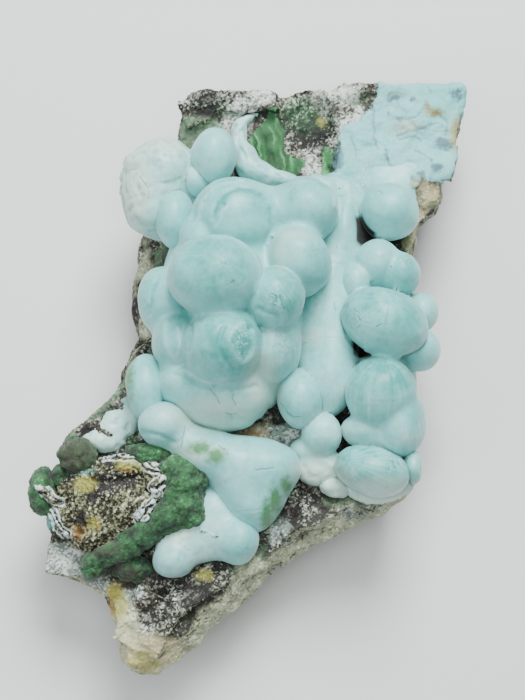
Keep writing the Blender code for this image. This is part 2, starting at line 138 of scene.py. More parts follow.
SLOPE = (
    ("slope head", 19, 33.5, -3, 8.5, 10, 6, 0, 0, 0.45, 0.1),
    ("slope sheet high", 17.2, 27.5, 0, 5.6, 10, 8, 0, 6, 0.45, 0.1),
    ("slope column", 19.4, 30.2, 3.6, 3.2, 6.6, 6, 0, 2.5, 0.45, 0.1),
    ("slope sheet", 16, 14, 0, 7.4, 13, 9.4, 4, 6, 0.35, 0),
    ("slope foot", 16, 0.6, 0.8, 6.4, 9.6, 8.8, -4, 5, 0.35, 0),
    ("slope ball upper", 10.2, -4.9, 3.5, 4.8, 6.3, 8, 10, 0.4, 0.45, 0),
    ("slope ball lower", 14.7, -12.2, 3, 4.2, 4.6, 5.2, 0, 0.5, 0.3, 0.15),
    ("slope back", 12.6, -15.2, 0.8, 4.4, 2.8, 3.4, 0, 1, 0.3, 0.1),
    ("slope toe", 13.4, -18.9, 0.2, 4.3, 3.6, 3, 0, 1.6, 0.1, 0.3),
    ("slope toe middle", 16.9, -18.2, 0.3, 2.5, 2.5, 2.7, 0, 1.6, 0.15, 0.3),
    ("slope toe right", 17.3, -23, 0.2, 3.1, 2, 2.3, -14, 0.6, 0.1, 0.3),
    ("drape crest", -1.2, 55.6, -1.5, 3.4, 1, 1.9, 36, 0, 0.1, 0.6),
    ("drape shoulder", -2.4, 51.2, -0.5, 1.7, 4.4, 2.6, -6, 1, 0.2, 0.4),
    ("drape fold", -0.9, 46.9, 0.3, 2.4, 3.7, 3.4, 10, 1.2, 0.3, 0.2),
    ("drape bulge", 1, 44, 0.6, 4.2, 2.8, 3.8, -18, 1.2, 0.3, 0.2),
    ("drape lip", 5.4, 42.6, 0.6, 4.2, 1.9, 3, -14, 1.6, 0.25, 0.3),
    ("drape hem", 14, 40.9, 0.4, 5.6, 2.2, 2.8, 0, 2, 0.2, 0.2),
)
RIGHT_BANK = (
    ("bank core", 27.5, 4, -2, 7, 26, 8, 2, 0, 0.3, 0),
    ("bank sheet", 30.5, 41.5, -3.6, 8.5, 8.5, 5.6, 0, 0, 0.25, 0.1),
    ("bank top ball", 28.8, 34.3, 4.5, 6.3, 5.9, 7, 0, 2.5, 0.55, 0),
    ("bank wedge", 21.8, 19, 4, 3.7, 4.2, 6.6, 0, 1, 0.4, 0),
    ("bank upper", 26.4, 23, 4.6, 5.4, 5.1, 7.2, -10, 0.9, 0.4, 0),
    ("bank upper right", 31.1, 20.9, 5.2, 4.2, 4.6, 6.6, 0, 0.95, 0.75, 0),
    ("bank disc", 27.6, 9.9, 9.6, 9.2, 7.1, 9, -20, 0.9, 0.75, 0),
    ("bank back upper", 35.4, 13.2, 2.6, 3.5, 4, 5, 0, 0.5, 0.35, 0.1),
    ("bank back lower", 34.9, 5.3, 3.4, 4.3, 4.5, 5.2, 0, 0.5, 0.4, 0),
    ("bank middle", 26.9, -4.4, 7, 7.4, 7.7, 9.5, -8, 1.2, 0.85, 0),
    ("bank lower", 30.4, -9.8, 4.5, 5.6, 7.1, 8.5, 0, 0.9, 0.62, 0),
    ("bank lower tail", 24.3, -11.8, 3, 6, 3.8, 6.8, -8, 1, 0.3, 0.1),
    ("bank foot shell", 27.4, -21.6, 0.5, 7.8, 4.2, 5, 16, -0.6, 0.1, 0.5),
    ("bank foot", 24.8, -20, 4.5, 7.6, 5.1, 7, -18, -1, 0.75, 0),
    ("bank foot right", 33.2, -19.1, 2, 1.9, 3.7, 5, 0, -1, 0.5, 0.2),
)
UPPER_LEFT = (
    ("upper left core", -14, 38.5, -2, 9, 10, 8, 0, 0, 0.2, 0.2),
    ("upper left ball", -17.7, 43, 5.5, 6.4, 6.8, 8, 0, 4, 0.3, 0.4),
    ("upper left edge", -21.6, 40, 3.5, 5, 7, 7, 0, 5, 0.15, 0.8),
    ("upper left low", -20.4, 34.4, 3.5, 4.8, 5, 7, 0, 5, 0.45, 0.5),
    ("edge knob top", -21.5, 47.4, 4, 2.6, 2, 2.4, 0, 1.2, 0.1, 0.6),
    ("edge knob high", -24.6, 45, 4.4, 2, 2, 2.4, 0, 1, 0.1, 0.6),
    ("edge knob left", -25.8, 42, 3.8, 1.6, 1.7, 2.2, 0, 0.8, 0.1, 0.6),
    ("edge knob middle", -25.6, 39, 3.2, 1.8, 1.6, 2.2, 0, 0.8, 0.1, 0.6),
    ("edge knob low", -24.6, 35.8, 3.6, 1.9, 2, 2.4, 0, 0.8, 0.1, 0.6),
    ("edge knob foot", -23.6, 32.6, 3, 1.7, 1.8, 2.4, 0, 0.8, 0.1, 0.6),
    ("edge knob inner", -22.6, 43.6, 8.6, 2.6, 2.2, 2.4, 0, 1.6, 0.1, 0.5),
    ("upper left inner", -15.4, 32, 6, 4.1, 6.2, 7.5, 0, 0.8, 0.45, 0),
    ("upper left bead", -11.6, 40.6, 5.4, 3.2, 3.8, 5.6, 30, 0.8, 0.3, 0),
    ("upper ball", -7.6, 45.4, 8, 5, 6, 7.5, 0, 0.5, 0.35, 0),
)
SADDLE = (
    ("saddle head", -17.5, -10.9, 5.5, 5.3, 4.7, 7, 0, 0, 0.35, 0),
    ("saddle neck", -11.4, -15.2, 3.6, 6, 3.7, 6, -26, 3, 0.25, 0),
    ("saddle body left", -5.2, -17.6, 3.4, 7.2, 4.5, 7.2, -18, 6, 0.35, 0),
    ("saddle body right", 3.8, -19, 3.4, 6.5, 5.1, 7.6, -10, 6, 0.5, 0),
    ("saddle body low", -0.2, -23, 2.4, 6.2, 5.4, 6.4, -20, 6, 0.4, 0),
    ("saddle tip", 0.6, -27.2, 1.5, 3.9, 4.7, 5, 10, 6, 0.5, 0),
)
FEET = (
    ("foot flank", -7.7, -28.4, 1.4, 5, 6.2, 5.4, 35, 0, 0.3, 0),
    ("foot sheet", -10.4, -33.5, 0.6, 7, 4.9, 4.7, 4, 5, 0.2, 0.1),
    ("foot ball right", -2.6, -34.2, 1.9, 4.4, 5, 6, 0, 2.6, 0.5, 0),
    ("foot back", -14.6, -33.8, 0.4, 4.8, 3.4, 4.4, 12, 3, 0.1, 0.5),
    ("foot ball left", -15.5, -37.8, 1.4, 4.1, 3.6, 5.2, -10, 2, 0.3, 0.1),
)
LEFT_LEDGE = (
    ("ledge ball", -21.4, -2.8, 4, 4.1, 6.8, 6.5, 0, 0, 0.5, 0),
    ("ledge hump", -27.2, -8.8, -1.8, 5.8, 4, 2.9, 40, 3, 0.15, 0.6),
    ("ledge skirt", -30.2, -12, -1.9, 5.4, 3.4, 2.5, 20, 3, 0.15, 0.6),
    ("ledge bead", -31.6, -13.4, -0.2, 3.4, 1.8, 2.1, -12, 1.2, 0.1, 0.2),
)
MALACHITE = (
    ("dome upper lobe", -20.6, -17, 4.2, 5.2, 2.8, 4.6, -6, 0),
    ("dome upper right lobe", -16.2, -20, 4.2, 3.9, 3.4, 5, -14, 0.8),
    ("dome right lobe", -12.9, -22, 4.5, 4.3, 4.9, 5.6, 0, 2.5),
    ("dome right middle", -13.6, -24.9, 3.8, 4.3, 3.2, 5.4, 0, 1.6),
    ("dome right low lobe", -12.9, -27.6, 4, 4.2, 3.8, 5.4, 0, 1.6),
    ("dome right knob", -10.8, -29.4, 2.6, 2.4, 2.2, 4.6, 0, 1.5),
    ("dome lower right lobe", -16.6, -29.6, 3.4, 4.2, 3.4, 5.4, 20, 2.2),
    ("dome band", -20.8, -32, 2.6, 4.4, 3.2, 5.2, 35, 2),
    ("dome lower lobe", -24.6, -34.6, 1.6, 4, 3, 5.2, 24, 1.4),
    ("dome low band", -28.2, -36.8, 0.2, 3.6, 2.7, 4.8, 30, 1.4),
    ("dome low left lobe", -31.4, -38.4, -1.4, 3.6, 2.7, 4.8, 35, 1),
    ("dome low right lobe", -24.2, -39.4, -2.2, 4.2, 2.8, 4.6, 0, 0.8),
    ("dome upper left lobe", -35.6, -16.4, 1, 4, 3.7, 5, 0, 0),
    ("dome left lobe", -42.6, -23.3, -1, 3, 4.9, 5.2, 0, 0),
    ("dome left web", -39.2, -20.6, -1.4, 2.6, 3.4, 4, -30, 0.8),
)
BROKEN_CORE = (
    ("dome core", -27.5, -26.5, -3, 12, 10.4, 9.5, 0, 0),
    ("broken bed", -28, -25, 0.5, 10, 8.5, 5.6, 12, 2),
    ("broken rim", -19, -21.5, 4.8, 2.4, 4.4, 3.6, 14, 1),
    ("broken rim low", -20.8, -27.3, 4.2, 2.2, 3.6, 3.6, -10, 1),
    ("broken crest", -27, -19.8, 4.2, 6, 2.6, 3.2, 12, 1),
    ("broken middle", -28.5, -25.5, 3.5, 4.5, 2.2, 3.4, -20, 1),
    ("broken left", -36, -23, 0.6, 4.2, 2.6, 3.4, 30, 1),
    ("broken left crest", -41.4, -24.6, 0.6, 3.8, 1.3, 3, -38, 0.6),
    ("broken low", -31, -32, 0.5, 5.8, 4.2, 3.8, 10, 1.5),
    ("broken low left", -37.6, -29, -1.5, 4.4, 4, 4.4, 0, 1.5),
)
ALL_LUMPS = CROWN + SLOPE + RIGHT_BANK + UPPER_LEFT + SADDLE + FEET + LEFT_LEDGE + MALACHITE + BROKEN_CORE

# Direction that the streaks of a lump run out from, as its lean in x and y, where it isn't the top
POLES = {
    "crown top left": (-0.1, 0.1), "crown top right": (-0.3, 0.6), "crown right": (0.4, 0.4),
    "crown middle": (0.4, 0.1), "crown foot": (0.1, 1.4), "crown foot left": (0, 1.2),
    "crown lower right": (0.2, 1.2), "bank disc": (0.1, 0.5), "bank middle": (0, 1.6),
    "bank lower": (-0.2, 1), "bank foot": (-0.8, 0.2),
}
DEFAULT_POLE = (0, 0.3)
# How strongly a lump is streaked, where that isn't faint
STREAKS = {
    "bank middle": 1, "bank disc": 0.55, "bank foot": 0.9, "bank lower": 0.6, "crown lower right": 0.7,
    "crown middle right": 0.5, "crown foot": 0.45, "crown foot left": 0.6, "crown top right": 0.4,
    "slope sheet": 0.3, "slope foot": 0.5, "slope ball upper": 0.5,
}
FAINT_STREAKS = 0.25

# Fine marks on the lumps: half width and height of each kind, and the courses of its marks in x and y
MARK_KINDS = {"crack": (0.12, -0.12), "ridge": (0.5, 0.3), "fold": (0.45, -0.4), "teal": (0.9, 0)}
MARKS = {
    "fold": (
        ((-12, 30.3), (-11.5, 33.8), (-9.4, 36.2), (-6.2, 37.8), (-2, 38.3)),
        ((-7.6, 29.4), (-6.9, 32.4), (-4.8, 34.8), (-1.8, 36), (1.4, 35.6)),
        ((4.2, 31.4), (4.8, 27.8), (3, 24.7)), ((-5, 6), (-6.2, 3.4), (-5.6, 0.4), (-3.4, -1.4)),
        ((19.4, 12.4), (19, 9.4), (20.4, 6.2), (22.8, 4.2)),
        ((-15.2, -1.2), (-12.8, -2.2), (-9.8, -4.3), (-7.2, -4.8), (-2.2, -5), (1.6, -3.8)),
        ((-12.2, 9.2), (-11.6, 5.6), (-11.9, 2.4)), ((-20.4, 11.2), (-20, 15), (-18.6, 18.4)),
        ((1.6, 10.4), (3.6, 9), (6, 8.6)), ((-3.4, -9.8), (-0.6, -10.2), (2.4, -9.2), (3.9, -6.8)),
        ((-21.4, -12.8), (-18.4, -13.4), (-15.4, -14.8)),
        ((-1, 46.6), (-2.6, 48.8), (-2.8, 51), (-1.4, 53)), ((2, 44.4), (4.2, 43.6), (5.8, 42.4)),
        ((18, 40.6), (19.2, 37.4), (18.6, 33.6)),
    ),
    "ridge": (
        ((-10.6, 30), (-10.1, 33), (-8.2, 35.4), (-5.2, 36.9), (-1.6, 37.4)),
        ((-5.2, 31), (-5.6, 29.6), (-6.8, 27.3)),
        ((-1.5, 6.9), (-3.2, 5.4), (-3.9, 3.4), (-3.5, 1.2), (-1.6, -0.3)),
        ((-1.6, -0.3), (0.4, 1), (1, 3.4), (0.4, 5.6)),
        ((-13.4, -0.5), (-9.8, -2.8), (-7.4, -3.4), (-4.6, -3.2)),
        ((-16.9, 8.8), (-17.2, 5.6), (-16.2, 2.6), (-13.8, 1.4)),
        ((-14.6, 7.4), (-13.8, 4.4), (-14.6, 2.2)),
        ((-7.6, 24), (-4.6, 23.8), (-1.4, 22.4), (1.4, 19.8), (2, 16.6), (0.9, 13.2)),
        ((16.2, 40), (17.4, 36.6), (17.2, 32.6)), ((20.2, 41.4), (20.8, 38.2), (20.4, 35.4)),
    ),
    "teal": (
        ((-6.6, 31.2), (-5.4, 33.2), (-3.2, 34.8), (-0.8, 35.4), (1.6, 34.6)),
    ),
    "crack": (
        ((4.4, 12.6), (5.2, 11.8), (5, 10.9)), ((5.8, 12), (6.2, 10.9), (6.9, 9.8)),
        ((-8, -4.7), (-6.8, -6.2), (-6.1, -7.6)), ((-4.8, -9.1), (-3.8, -9.4), (-2.8, -9.2)),
        ((-3.2, -5.6), (-3.4, -6.6), (-3, -7.6)), ((6.1, -6.5), (7.4, -8.3), (8.8, -9.4), (10.2, -9.6)),
        ((1.2, -20.7), (3, -20.3), (4.8, -20.1)), ((-13, -11.6), (-13.3, -13.6), (-14, -16)),
        ((-22.6, 39.8), (-21, 37.6), (-20.8, 35.2)), ((-6.2, -15.6), (-5, -16.3)),
        ((17.3, 12.2), (17.1, 14)), ((26.3, 37.4), (27.2, 36.6)), ((21.9, 9.2), (21.5, 10)),
        ((25.3, 7.3), (26.1, 7.8)), ((29.4, -18.2), (29.9, -19.4)), ((28.2, -18.9), (28.8, -20.2)),
        ((27.3, -19.4), (27.8, -20.6)),
    ),
}
# Courses of the cracks and chipped edges in the thin crust of the plate
PLATE_MARKS = (
    ((37.6, 59.9), (37.1, 58), (35.7, 56.3), (33.8, 54.8), (32.1, 55.4)),
    ((33.8, 54.8), (35.1, 53.5), (35.9, 53.1), (39.2, 54.3), (40.5, 53.9)),
    ((31.3, 52.2), (31.5, 51), (33.4, 51.3), (35.5, 51.4), (35.7, 50.3)),
    ((31.3, 52.2), (33.4, 52.7), (35.9, 53.1)),
    ((40.1, 55.6), (41.3, 54.8), (41.8, 53.5), (41.4, 51.8)),
    ((32.1, 41.7), (35.1, 41.5), (37.6, 41.3), (40.1, 41.6)),
    ((37.1, 62.4), (37.6, 61.6), (38.4, 60.7)),
    ((42.3, 62.4), (41.9, 61), (42, 59.9)),
    ((40.9, 59.7), (41.8, 58.6)),
    ((25.4, 62), (25.6, 58.2), (26.1, 54.3), (25.8, 51.4), (26.7, 49.2)),
    ((28.8, 60.2), (30.2, 61.3), (32, 61), (32.6, 60), (31, 59.3), (29.3, 59.5), (28.8, 60.2)),
    ((28.4, 46.8), (29.6, 45.2), (31.4, 44.6)),
    ((21.4, 51.6), (22.2, 49.4), (21.8, 47.2)),
    ((35, 48.6), (37.2, 47.8), (38.4, 46.2)),
)
# Courses of the frilled white rims of the broken malachite
FRILLS = (
    (
        (-29.3, -17.2), (-27.2, -17), (-25, -17.4), (-22.9, -17.6), (-21.4, -18.6), (-20.4, -19.8),
        (-18.4, -20.2), (-17.4, -21.4), (-18, -22.6), (-19.6, -23.6), (-18.6, -25.2), (-19.2, -26.6),
        (-20.8, -27.2), (-21.4, -28.6), (-23, -29.8), (-22, -30.6), (-20.8, -29.6),
    ),
    ((-44.4, -21.9), (-43.2, -23.4), (-41.6, -24.2), (-40.4, -25.8), (-38.4, -26.2)),
    ((-40.6, -27.8), (-39.8, -29.6), (-38.8, -31.4), (-37.4, -32.6)),
)

# Patches of the plate's face, by what they are made of: outlines of x and y
PATCHES = {
    "crust": (
        (
            (18.8, 53.8), (23, 55.5), (24.5, 57), (26.5, 59.5), (27, 63), (29, 67), (48, 68), (48, 60),
            (44, 47), (41.5, 41.5), (36, 42.3), (33.5, 38), (33, 30), (12, 30), (12, 43), (14, 44),
            (17.9, 43.6), (18.6, 48),
        ),
    ),
    "chalk": (
        ((12.8, 62.5), (22, 63.5), (24, 58), (23.4, 54.5), (18.5, 53.5), (15.5, 57), (13, 58.5)),
        ((-1, 61), (1, 63.5), (5, 63.5), (5.5, 59.5), (2.5, 58.6), (-3.5, 57), (-6, 56.5), (-5, 58.5)),
        ((11.5, 47.5), (14.6, 50), (15, 44), (12, 43), (10.5, 44.5)),
        ((-8, 54), (-4, 58.4), (1.6, 58.2), (0.4, 54.4), (-1.2, 51.6), (-0.4, 46.5), (-6, 45.5), (-9, 49)),
    ),
    "fibre": (
        (
            (3.7, 58), (5.5, 58), (5.6, 56.4), (6.7, 55.2), (7.2, 53.7), (7, 50), (7.4, 48.3), (8.7, 47.7),
            (10.7, 47.6), (11.5, 46.8), (11.2, 45.6), (10.3, 44.4), (9.5, 43), (5, 43), (0.5, 48.5),
            (-0.5, 51.5), (0.3, 53), (2, 54.5), (3.3, 55.9),
        ),
        ((14.9, 43.4), (15.2, 50), (17, 49.6), (17.6, 46), (17.2, 43.4)),
    ),
    "green": (
        ((-15.5, 56.5), (-7, 56), (-5.5, 53.5), (-9, 51), (-12, 46), (-17, 46)),
        ((2.6, -31.4), (4, -31), (6.3, -27), (9.5, -23.6), (7, -22.5), (4, -25)),
        (
            (13.5, -21.5), (15.5, -26.6), (19.5, -26.6), (22, -25.4), (28, -25), (31, -23.6), (29, -22.5),
            (22, -23),
        ),
        ((-27.5, 2.5), (-23.5, 4.5), (-25.5, -1.5), (-30, -7.5), (-34, -9.5), (-33.4, -7.4)),
        ((-22, 29), (-16, 30), (-14, 20), (-20, 18)),
        ((-38, -10), (-34, -13), (-35, -18), (-41, -18)),
    ),
    "crumbs": (
        (
            (-13.6, -35), (-3.2, -39.6), (-4.4, -44), (-10.5, -47.9), (-14.3, -54.6), (-20.9, -57),
            (-23, -53.8), (-19.9, -47.5), (-16.8, -41.1),
        ),
        ((6.8, -20.6), (16.6, -25.9), (18.2, -28.2), (10.3, -33.4), (2.4, -37.2), (0.6, -35), (3.6, -30.1)),
        ((-15, 60), (-12, 62.5), (-5, 62.5), (-3, 59.5), (-8, 57.6), (-14, 57.4)),
        ((7.4, 58.4), (10, 59.8), (14.5, 58), (17.8, 53), (16.4, 50.4), (13.4, 50), (8.6, 51), (7.2, 54.6)),
        ((-21.5, 30), (-16, 30), (-14, 20), (-20, 12), (-23, 12)),
        ((-27.5, -6.5), (-23, -8.5), (-21, -10.5), (-24.4, -15), (-29.4, -16.6), (-31.5, -15.6)),
    ),
    "slate": (
        ((17.6, 50.5), (19, 50), (19.6, 45), (18.2, 43.6), (17.4, 45)),
    ),
    "stone": (
        ((3.4, -29.5), (6.5, -28.6), (8.6, -31), (7.2, -34.2), (3.6, -34)),
        ((17.4, -26.9), (24, -26.1), (31, -25), (29, -27), (24, -28.6), (18.5, -29.2)),
        ((-44, -38.5), (-42, -33.8), (-37, -34.4), (-33, -36.8), (-29.5, -39), (-28.6, -46), (-36, -46)),
        ((-18, -4), (-12, -8), (-2, -11), (12, -9), (12, -17), (4, -14), (-8, -13), (-18, -9)),
        ((-26.5, -43.5), (-22.5, -42.5), (-22, -45.5), (-25.5, -47)),
    ),
}
# Round stains on the plate by kind, most of them what the rock is made of and some of the dark ones painted
# shade: x, y and radii
PLATE_STAINS = {
    "yellow": (
        (15.2, 55.6, 0.8, 1.2), (-9.4, -40.8, 1.7, 1.4), (-27.6, -46.5, 2.6, 4.6), (38.6, 56.6, 1.8, 1),
        (43.2, 52, 1.2, 3.4), (-22.5, -58.5, 3.8, 2.2),
    ),
    "rust": (
        (-28.8, -48.5, 0.8, 2.6), (39.2, 56.2, 1.5, 0.6), (37.3, 57.4, 0.5, 1), (43.8, 52.2, 0.7, 3.2),
        (0.4, -11.6, 2.8, 0.7),
    ),
    "tan": (
        (36.6, 38, 5, 4.6), (34.6, 31, 2.4, 5), (33.2, 53.6, 2.8, 1), (-20.5, -57.5, 8, 5),
        (-26, -50.5, 1.6, 5), (1.6, -10.4, 2.4, 0.9),
    ),
    "moss": (
        (33.4, 26, 1.4, 4), (22.6, 60.2, 3.2, 1.2), (12.5, 57, 6.4, 4.4), (-4, 57.4, 3.4, 1),
        (30.6, 60.6, 2.2, 1), (-24.5, -12.5, 2.2, 2.6),
    ),
    "green": ((-19, -59, 1.2, 0.8), (22.4, 59, 1.9, 0.8), (2.6, -36, 0.8, 1.6), (-9, 51, 1.5, 2)),
    "slate": (
        (40.9, 50, 2, 1.1), (39.2, 44.6, 1.6, 1.2), (36, 42.9, 0.9, 0.9), (43.3, 60.8, 1.4, 0.7),
        (31, 59.6, 1.4, 0.9), (34.2, 59.4, 0.6, 0.5), (29, 56.6, 0.5, 0.6), (31.8, 55, 0.5, 0.6),
        (28.6, 47.6, 0.4, 1.4), (31.5, 41.9, 0.5, 0.4), (34.5, 42, 2.4, 0.4),
    ),
    "ice": ((41, 59.6, 5.4, 5.4), (20.5, 47, 2, 4)),
    # Dark stains: dark rock, and painted shade in the gaps between lumps and in the notch under the summit
    "dark": (
        (-13, 61, 1.4, 0.8), (-8.5, 60.2, 3.4, 1.4), (20, -13, 2.4, 6), (21, 5, 2.4, 3), (24, 29, 3.4, 4),
        (-20, -9, 3, 1.6), (8.4, -28, 2.6, 2.2), (-11, -44.6, 3.6, 3), (-18.4, 24, 1.6, 3),
    ),
}
# The same on the crusted lumps, where the stains in the open gaps are painted shade, on the malachite and on
# its broken core
LUMP_STAINS = {
    "speck": (
        (-3.2, 14.2, 0.4, 0.3), (-5.4, 31.7, 0.45, 0.7), (-0.2, 6.2, 0.5, 0.6), (1.8, 7.4, 0.4, 0.3),
        (24.9, 18.3, 0.3, 0.3), (-31.4, -9.4, 0.5, 0.4), (-28.6, -12.2, 0.4, 0.4),
    ),
    "fleck": (
        (-3.2, 14.2, 1.1, 0.7), (5.4, 11.4, 1.8, 2), (-1.7, 3.2, 2.2, 4), (-1.8, 32.2, 1, 0.6),
        (7, 4.2, 2.4, 2.8), (8.1, 35.9, 0.8, 0.6), (-9.6, 34.2, 1.4, 2.4), (22, 9.4, 1.6, 2.4),
        (13.2, 23.2, 1.2, 1.6), (28.8, -19.6, 2, 1.4), (-5, 17.4, 1, 0.7), (-14, -38, 1, 0.6),
        (-1.4, -35.9, 1, 0.6), (31.6, 22.6, 1.2, 0.9), (-30.6, -10.6, 3, 2.6),
    ),
    # Painted shade: black painted into the open gaps between lumps
    "gap_shade": ((23.6, 30.2, 2.6, 3.4), (20.6, 6.8, 2.6, 2), (23.4, 4.9, 3.4, 1.7)),
    "green": (
        (-10, -16, 2, 1.2), (-6.8, -17.6, 1.8, 1.3), (-24.6, -1, 0.8, 2.8), (-25, 2.4, 1.2, 1.4),
        (3.4, -29.4, 1.1, 2.4), (5, -26.4, 1.1, 2.4), (7.2, -23.4, 1, 1.4),
    ),
    "cream": (
        (12.7, 7.1, 1.3, 1.2), (8.4, 26, 2.4, 1.2), (6, 22, 1.2, 2.4), (13.3, -20.5, 4.2, 2.4),
        (17.2, -22.7, 3.4, 2.8), (26, -24.4, 6, 1.2), (-11.4, -17, 3, 1.2), (-7.4, -9.4, 10, 2.4),
        (-14.6, -31.4, 3.2, 3), (2.6, -4, 3, 5), (-32, -13, 2.6, 1.4), (-23.5, 38, 2.6, 8), (-18, 47, 4, 2),
        (27.4, -24.8, 7, 2.4),
    ),
    "teal": (
        (8.4, 35.8, 2.2, 1.6), (31.9, 22, 1.8, 1.4), (28.5, -21, 3.4, 2.4), (32.5, 8.5, 3.2, 5.4),
        (31, -22.4, 3.4, 2.6), (33.4, -8, 2, 4.4), (-4.6, 3, 1.6, 4.2), (-1.4, -35.4, 2, 1.8),
        (-15, -38.2, 1.8, 1.2), (26, -4, 4, 3),
    ),
}
MALACHITE_STAINS = {
    "moss": ((-35.5, -16.4, 4.4, 4.4), (-24.8, -41.2, 4, 2.6), (-29.5, -36.2, 4.6, 1.6)),
    "light": ((-17.5, -17, 5, 2), (-12.8, -26.4, 3, 1.6), (-42.6, -23, 1.4, 2.6)),
}
CORE_STAINS = {
    "yellow": (
        (-33.6, -22.8, 2.4, 1.7), (-31.5, -30.9, 1.3, 1.4), (-25.2, -19, 2, 1.3), (-22.6, -18.8, 1.5, 1.2),
    ),
    "rust": ((-35, -32.4, 1.5, 1.4), (-31, -31.4, 0.5, 0.4), (-24.8, -20.2, 0.9, 0.4)),
    "dark": (
        (-28.9, -23, 3, 2.2), (-26, -21.8, 3, 1.8), (-31, -25.2, 2, 1.6), (-37.8, -21.4, 2.4, 1.2),
        (-29, -18, 1.6, 0.8),
    ),
    "pit": ((-34.9, -32.2, 0.8, 0.8),),
    "teal": ((-41, -30, 1.4, 1.4), (-34.8, -19.8, 2.6, 0.7)),
}

# Fillets from this width up make a pale valley, and narrower ones a gap with painted shade in it
SOFT_FILLET = 0.85
VALLEY_WIDTH = 0.7
GAP_WIDTH = 0.35
TONE_BLEND = 0.8  # width in mm over which neighbouring lumps' tones run together
SETTLE_ROUNDS = 4
SETTLE_REACH = 0.7  # the furthest in mm that a point moves in a round
GAP_SHADE_TOP = 6.8  # height up to which the open gaps between lumps are painted black, as painted shade
MARK_REACH = 0.6  # distance in mm from a fine crack within which the mesh is finer
LUMPS_END = -6.0  # height at which the lumps are cut off, inside the plate
MALACHITE_END = -10.0
HOLLOWS_END = -5.0  # height below which nothing is carved away
BEAD_SPACING = 0.9
BEAD_RADIUS = 0.45
FRILL_SPACING = 0.9  # from one frilled layer to the next
LAYER_SPACING = 1.2  # from one broken layer of the core to the next
PLATE_PARTING = 6.0  # where the plate's mesh parts into an upper and a lower half, in y
GRAIN_CELL = 0.45  # width in mm of the rock's coloured grains
FLECK_WIDTH = 0.4
CRACK_CELL = 4.0
SHARD_CELL = 1.5
# Lines across the plate beyond which its broken side is drawn as finely as its face
TOP_EDGE = 42.0
LEFT_EDGE = -22.0
RIGHT_EDGE = 14.0
FINE_FACE_END = -4.0  # heights down to which the face and the side are finer
FINE_SIDE_END = -9.0
BAND_WIDTH = 4.5  # of the pale band along the lower right edge of the plate
FIBRE_WIDTH = 0.5  # of the fibres in the malachite leaf
FIBRE_LENGTH = 5.0
FAR_AWAY = 50.0  # further than any distance that is compared with it
NO_STAIN = -5.0  # distance in mm to a stain that is nowhere near
UP = (0.0, 0.0, 1.0)

# The photograph's scale and height, and the camera that takes the same view
PIXELS_PER_MM = 4.8
FRAME_PIXELS = 700
CAMERA_ELEVATION = 80.0
CAMERA_DISTANCE = 400.0
CAMERA_TARGET = (2.1, 4.0, FACE_Z)


def linear(hexadecimal):
    """A colour's sRGB hex value as the linear numbers that shaders take."""
    channels = [int(hexadecimal[i:i + 2], 16) / 255 for i in (1, 3, 5)]
    return (*(c / 12.92 if c <= 0.04045 else ((c + 0.055) / 1.055) ** 2.4 for c in channels), 1.0)


def colour(name, hexadecimal):
    """A colour property for the panel."""
    return bpy.props.FloatVectorProperty(
        name=name, description=f"Colour of the {name.lower()}", subtype="COLOR", size=4, min=0.0, max=1.0,
        default=linear(hexadecimal),
    )


def length(name, description, millimetres):
    """A length property for the panel."""
    return bpy.props.FloatProperty(
        name=name, description=description, unit="LENGTH", min=0.00005, default=millimetres * MM
    )


class SpecimenSizes(bpy.types.PropertyGroup):
    """Sizes of the surface detail"""

    lump_step: length("Lump step", "Spacing of the points on the lumps", 0.36)
    malachite_step: length("Malachite step", "Spacing of the points on the malachite", 0.28)
    core_step: length("Core step", "Spacing of the points on the broken core", 0.19)
    plate_step: length("Plate step", "Spacing of the points on the rock where it isn't bare face", 0.72)
    swell: length("Swell", "Depth of the lumps' broad unevenness", 0.5)
    erosion: length("Erosion", "Depth of the pits in eroded lumps", 1.5)
    grain: length("Grain", "Width of the rock's grains", 0.6)
    grain_relief: length("Grain relief", "Height of the rock's grains", 0.42)
    knob: length("Knob", "Width of the malachite's knobs", 1.6)
    velvet: length("Velvet", "Width of the malachite's fine tufts", 0.5)
    crumb: length("Crumb", "Width of the broken core's crumbs", 0.8)


class SpecimenColours(bpy.types.PropertyGroup):
    """Colours of the minerals"""

    seam: colour("Valleys", "#A6D6D2")
    pale: colour("Pale crust", "#84C8C6")
    teal: colour("Teal crowns", "#68B7B3")
    deep: colour("Deep teal spots", "#3F9690")
    gap: colour("Painted gap shade", "#4A645C")
    # Painted shade for the narrow gaps between lumps and the eroded pits
    cream: colour("Cream crust", "#C6D6C6")
    stain: colour("Green stains", "#3D7C45")
    speck: colour("Dark specks", "#2C5F54")
    malachite_dark: colour("Malachite hollows", "#0E2415")
    malachite: colour("Malachite", "#2A6236")
    malachite_light: colour("Malachite tips", "#5FA06A")
    rock_black: colour("Rock pits", "#0D0B09")
    rock_brown: colour("Rock", "#3B332A")
    rock_grey: colour("Rock grains", "#7E8578")
    rock_white: colour("Rock white grains", "#D2D6CE")
    side_cream: colour("Broken side", "#9CA487")
    side_light: colour("Light grains of the side", "#C6CDB0")
    olive: colour("Olive crumbs", "#5C5E3E")
    frill: colour("Frilled rims", "#C9DADC")
    stone: colour("Smooth stone", "#6F8078")
    slate: colour("Slate spots", "#44606A")
    crust_skin: colour("Thin crust", "#7AB8BC")
    chalk: colour("Chalk", "#C3CCC8")
    tan: colour("Tan rock", "#BFB98E")
    yellow: colour("Yellow stain", "#96953F")
    rust: colour("Rust stain", "#8E6420")
    floor: colour("Floor", "#CED1D1")


def dice(cells, seed):
    """A fixed random number from 0 to 1 for each cell of whole numbers."""
    mixed = cells[..., 0] * 73856093 ^ cells[..., 1] * 19349663 ^ cells[..., 2] * 83492791 ^ seed * 15485863
    mixed = ((mixed ^ (mixed >> 13)) * 1274126177) & 0xFFFFFFFF
    return ((mixed ^ (mixed >> 16)) & 0xFFFFFF) / 0x1000000


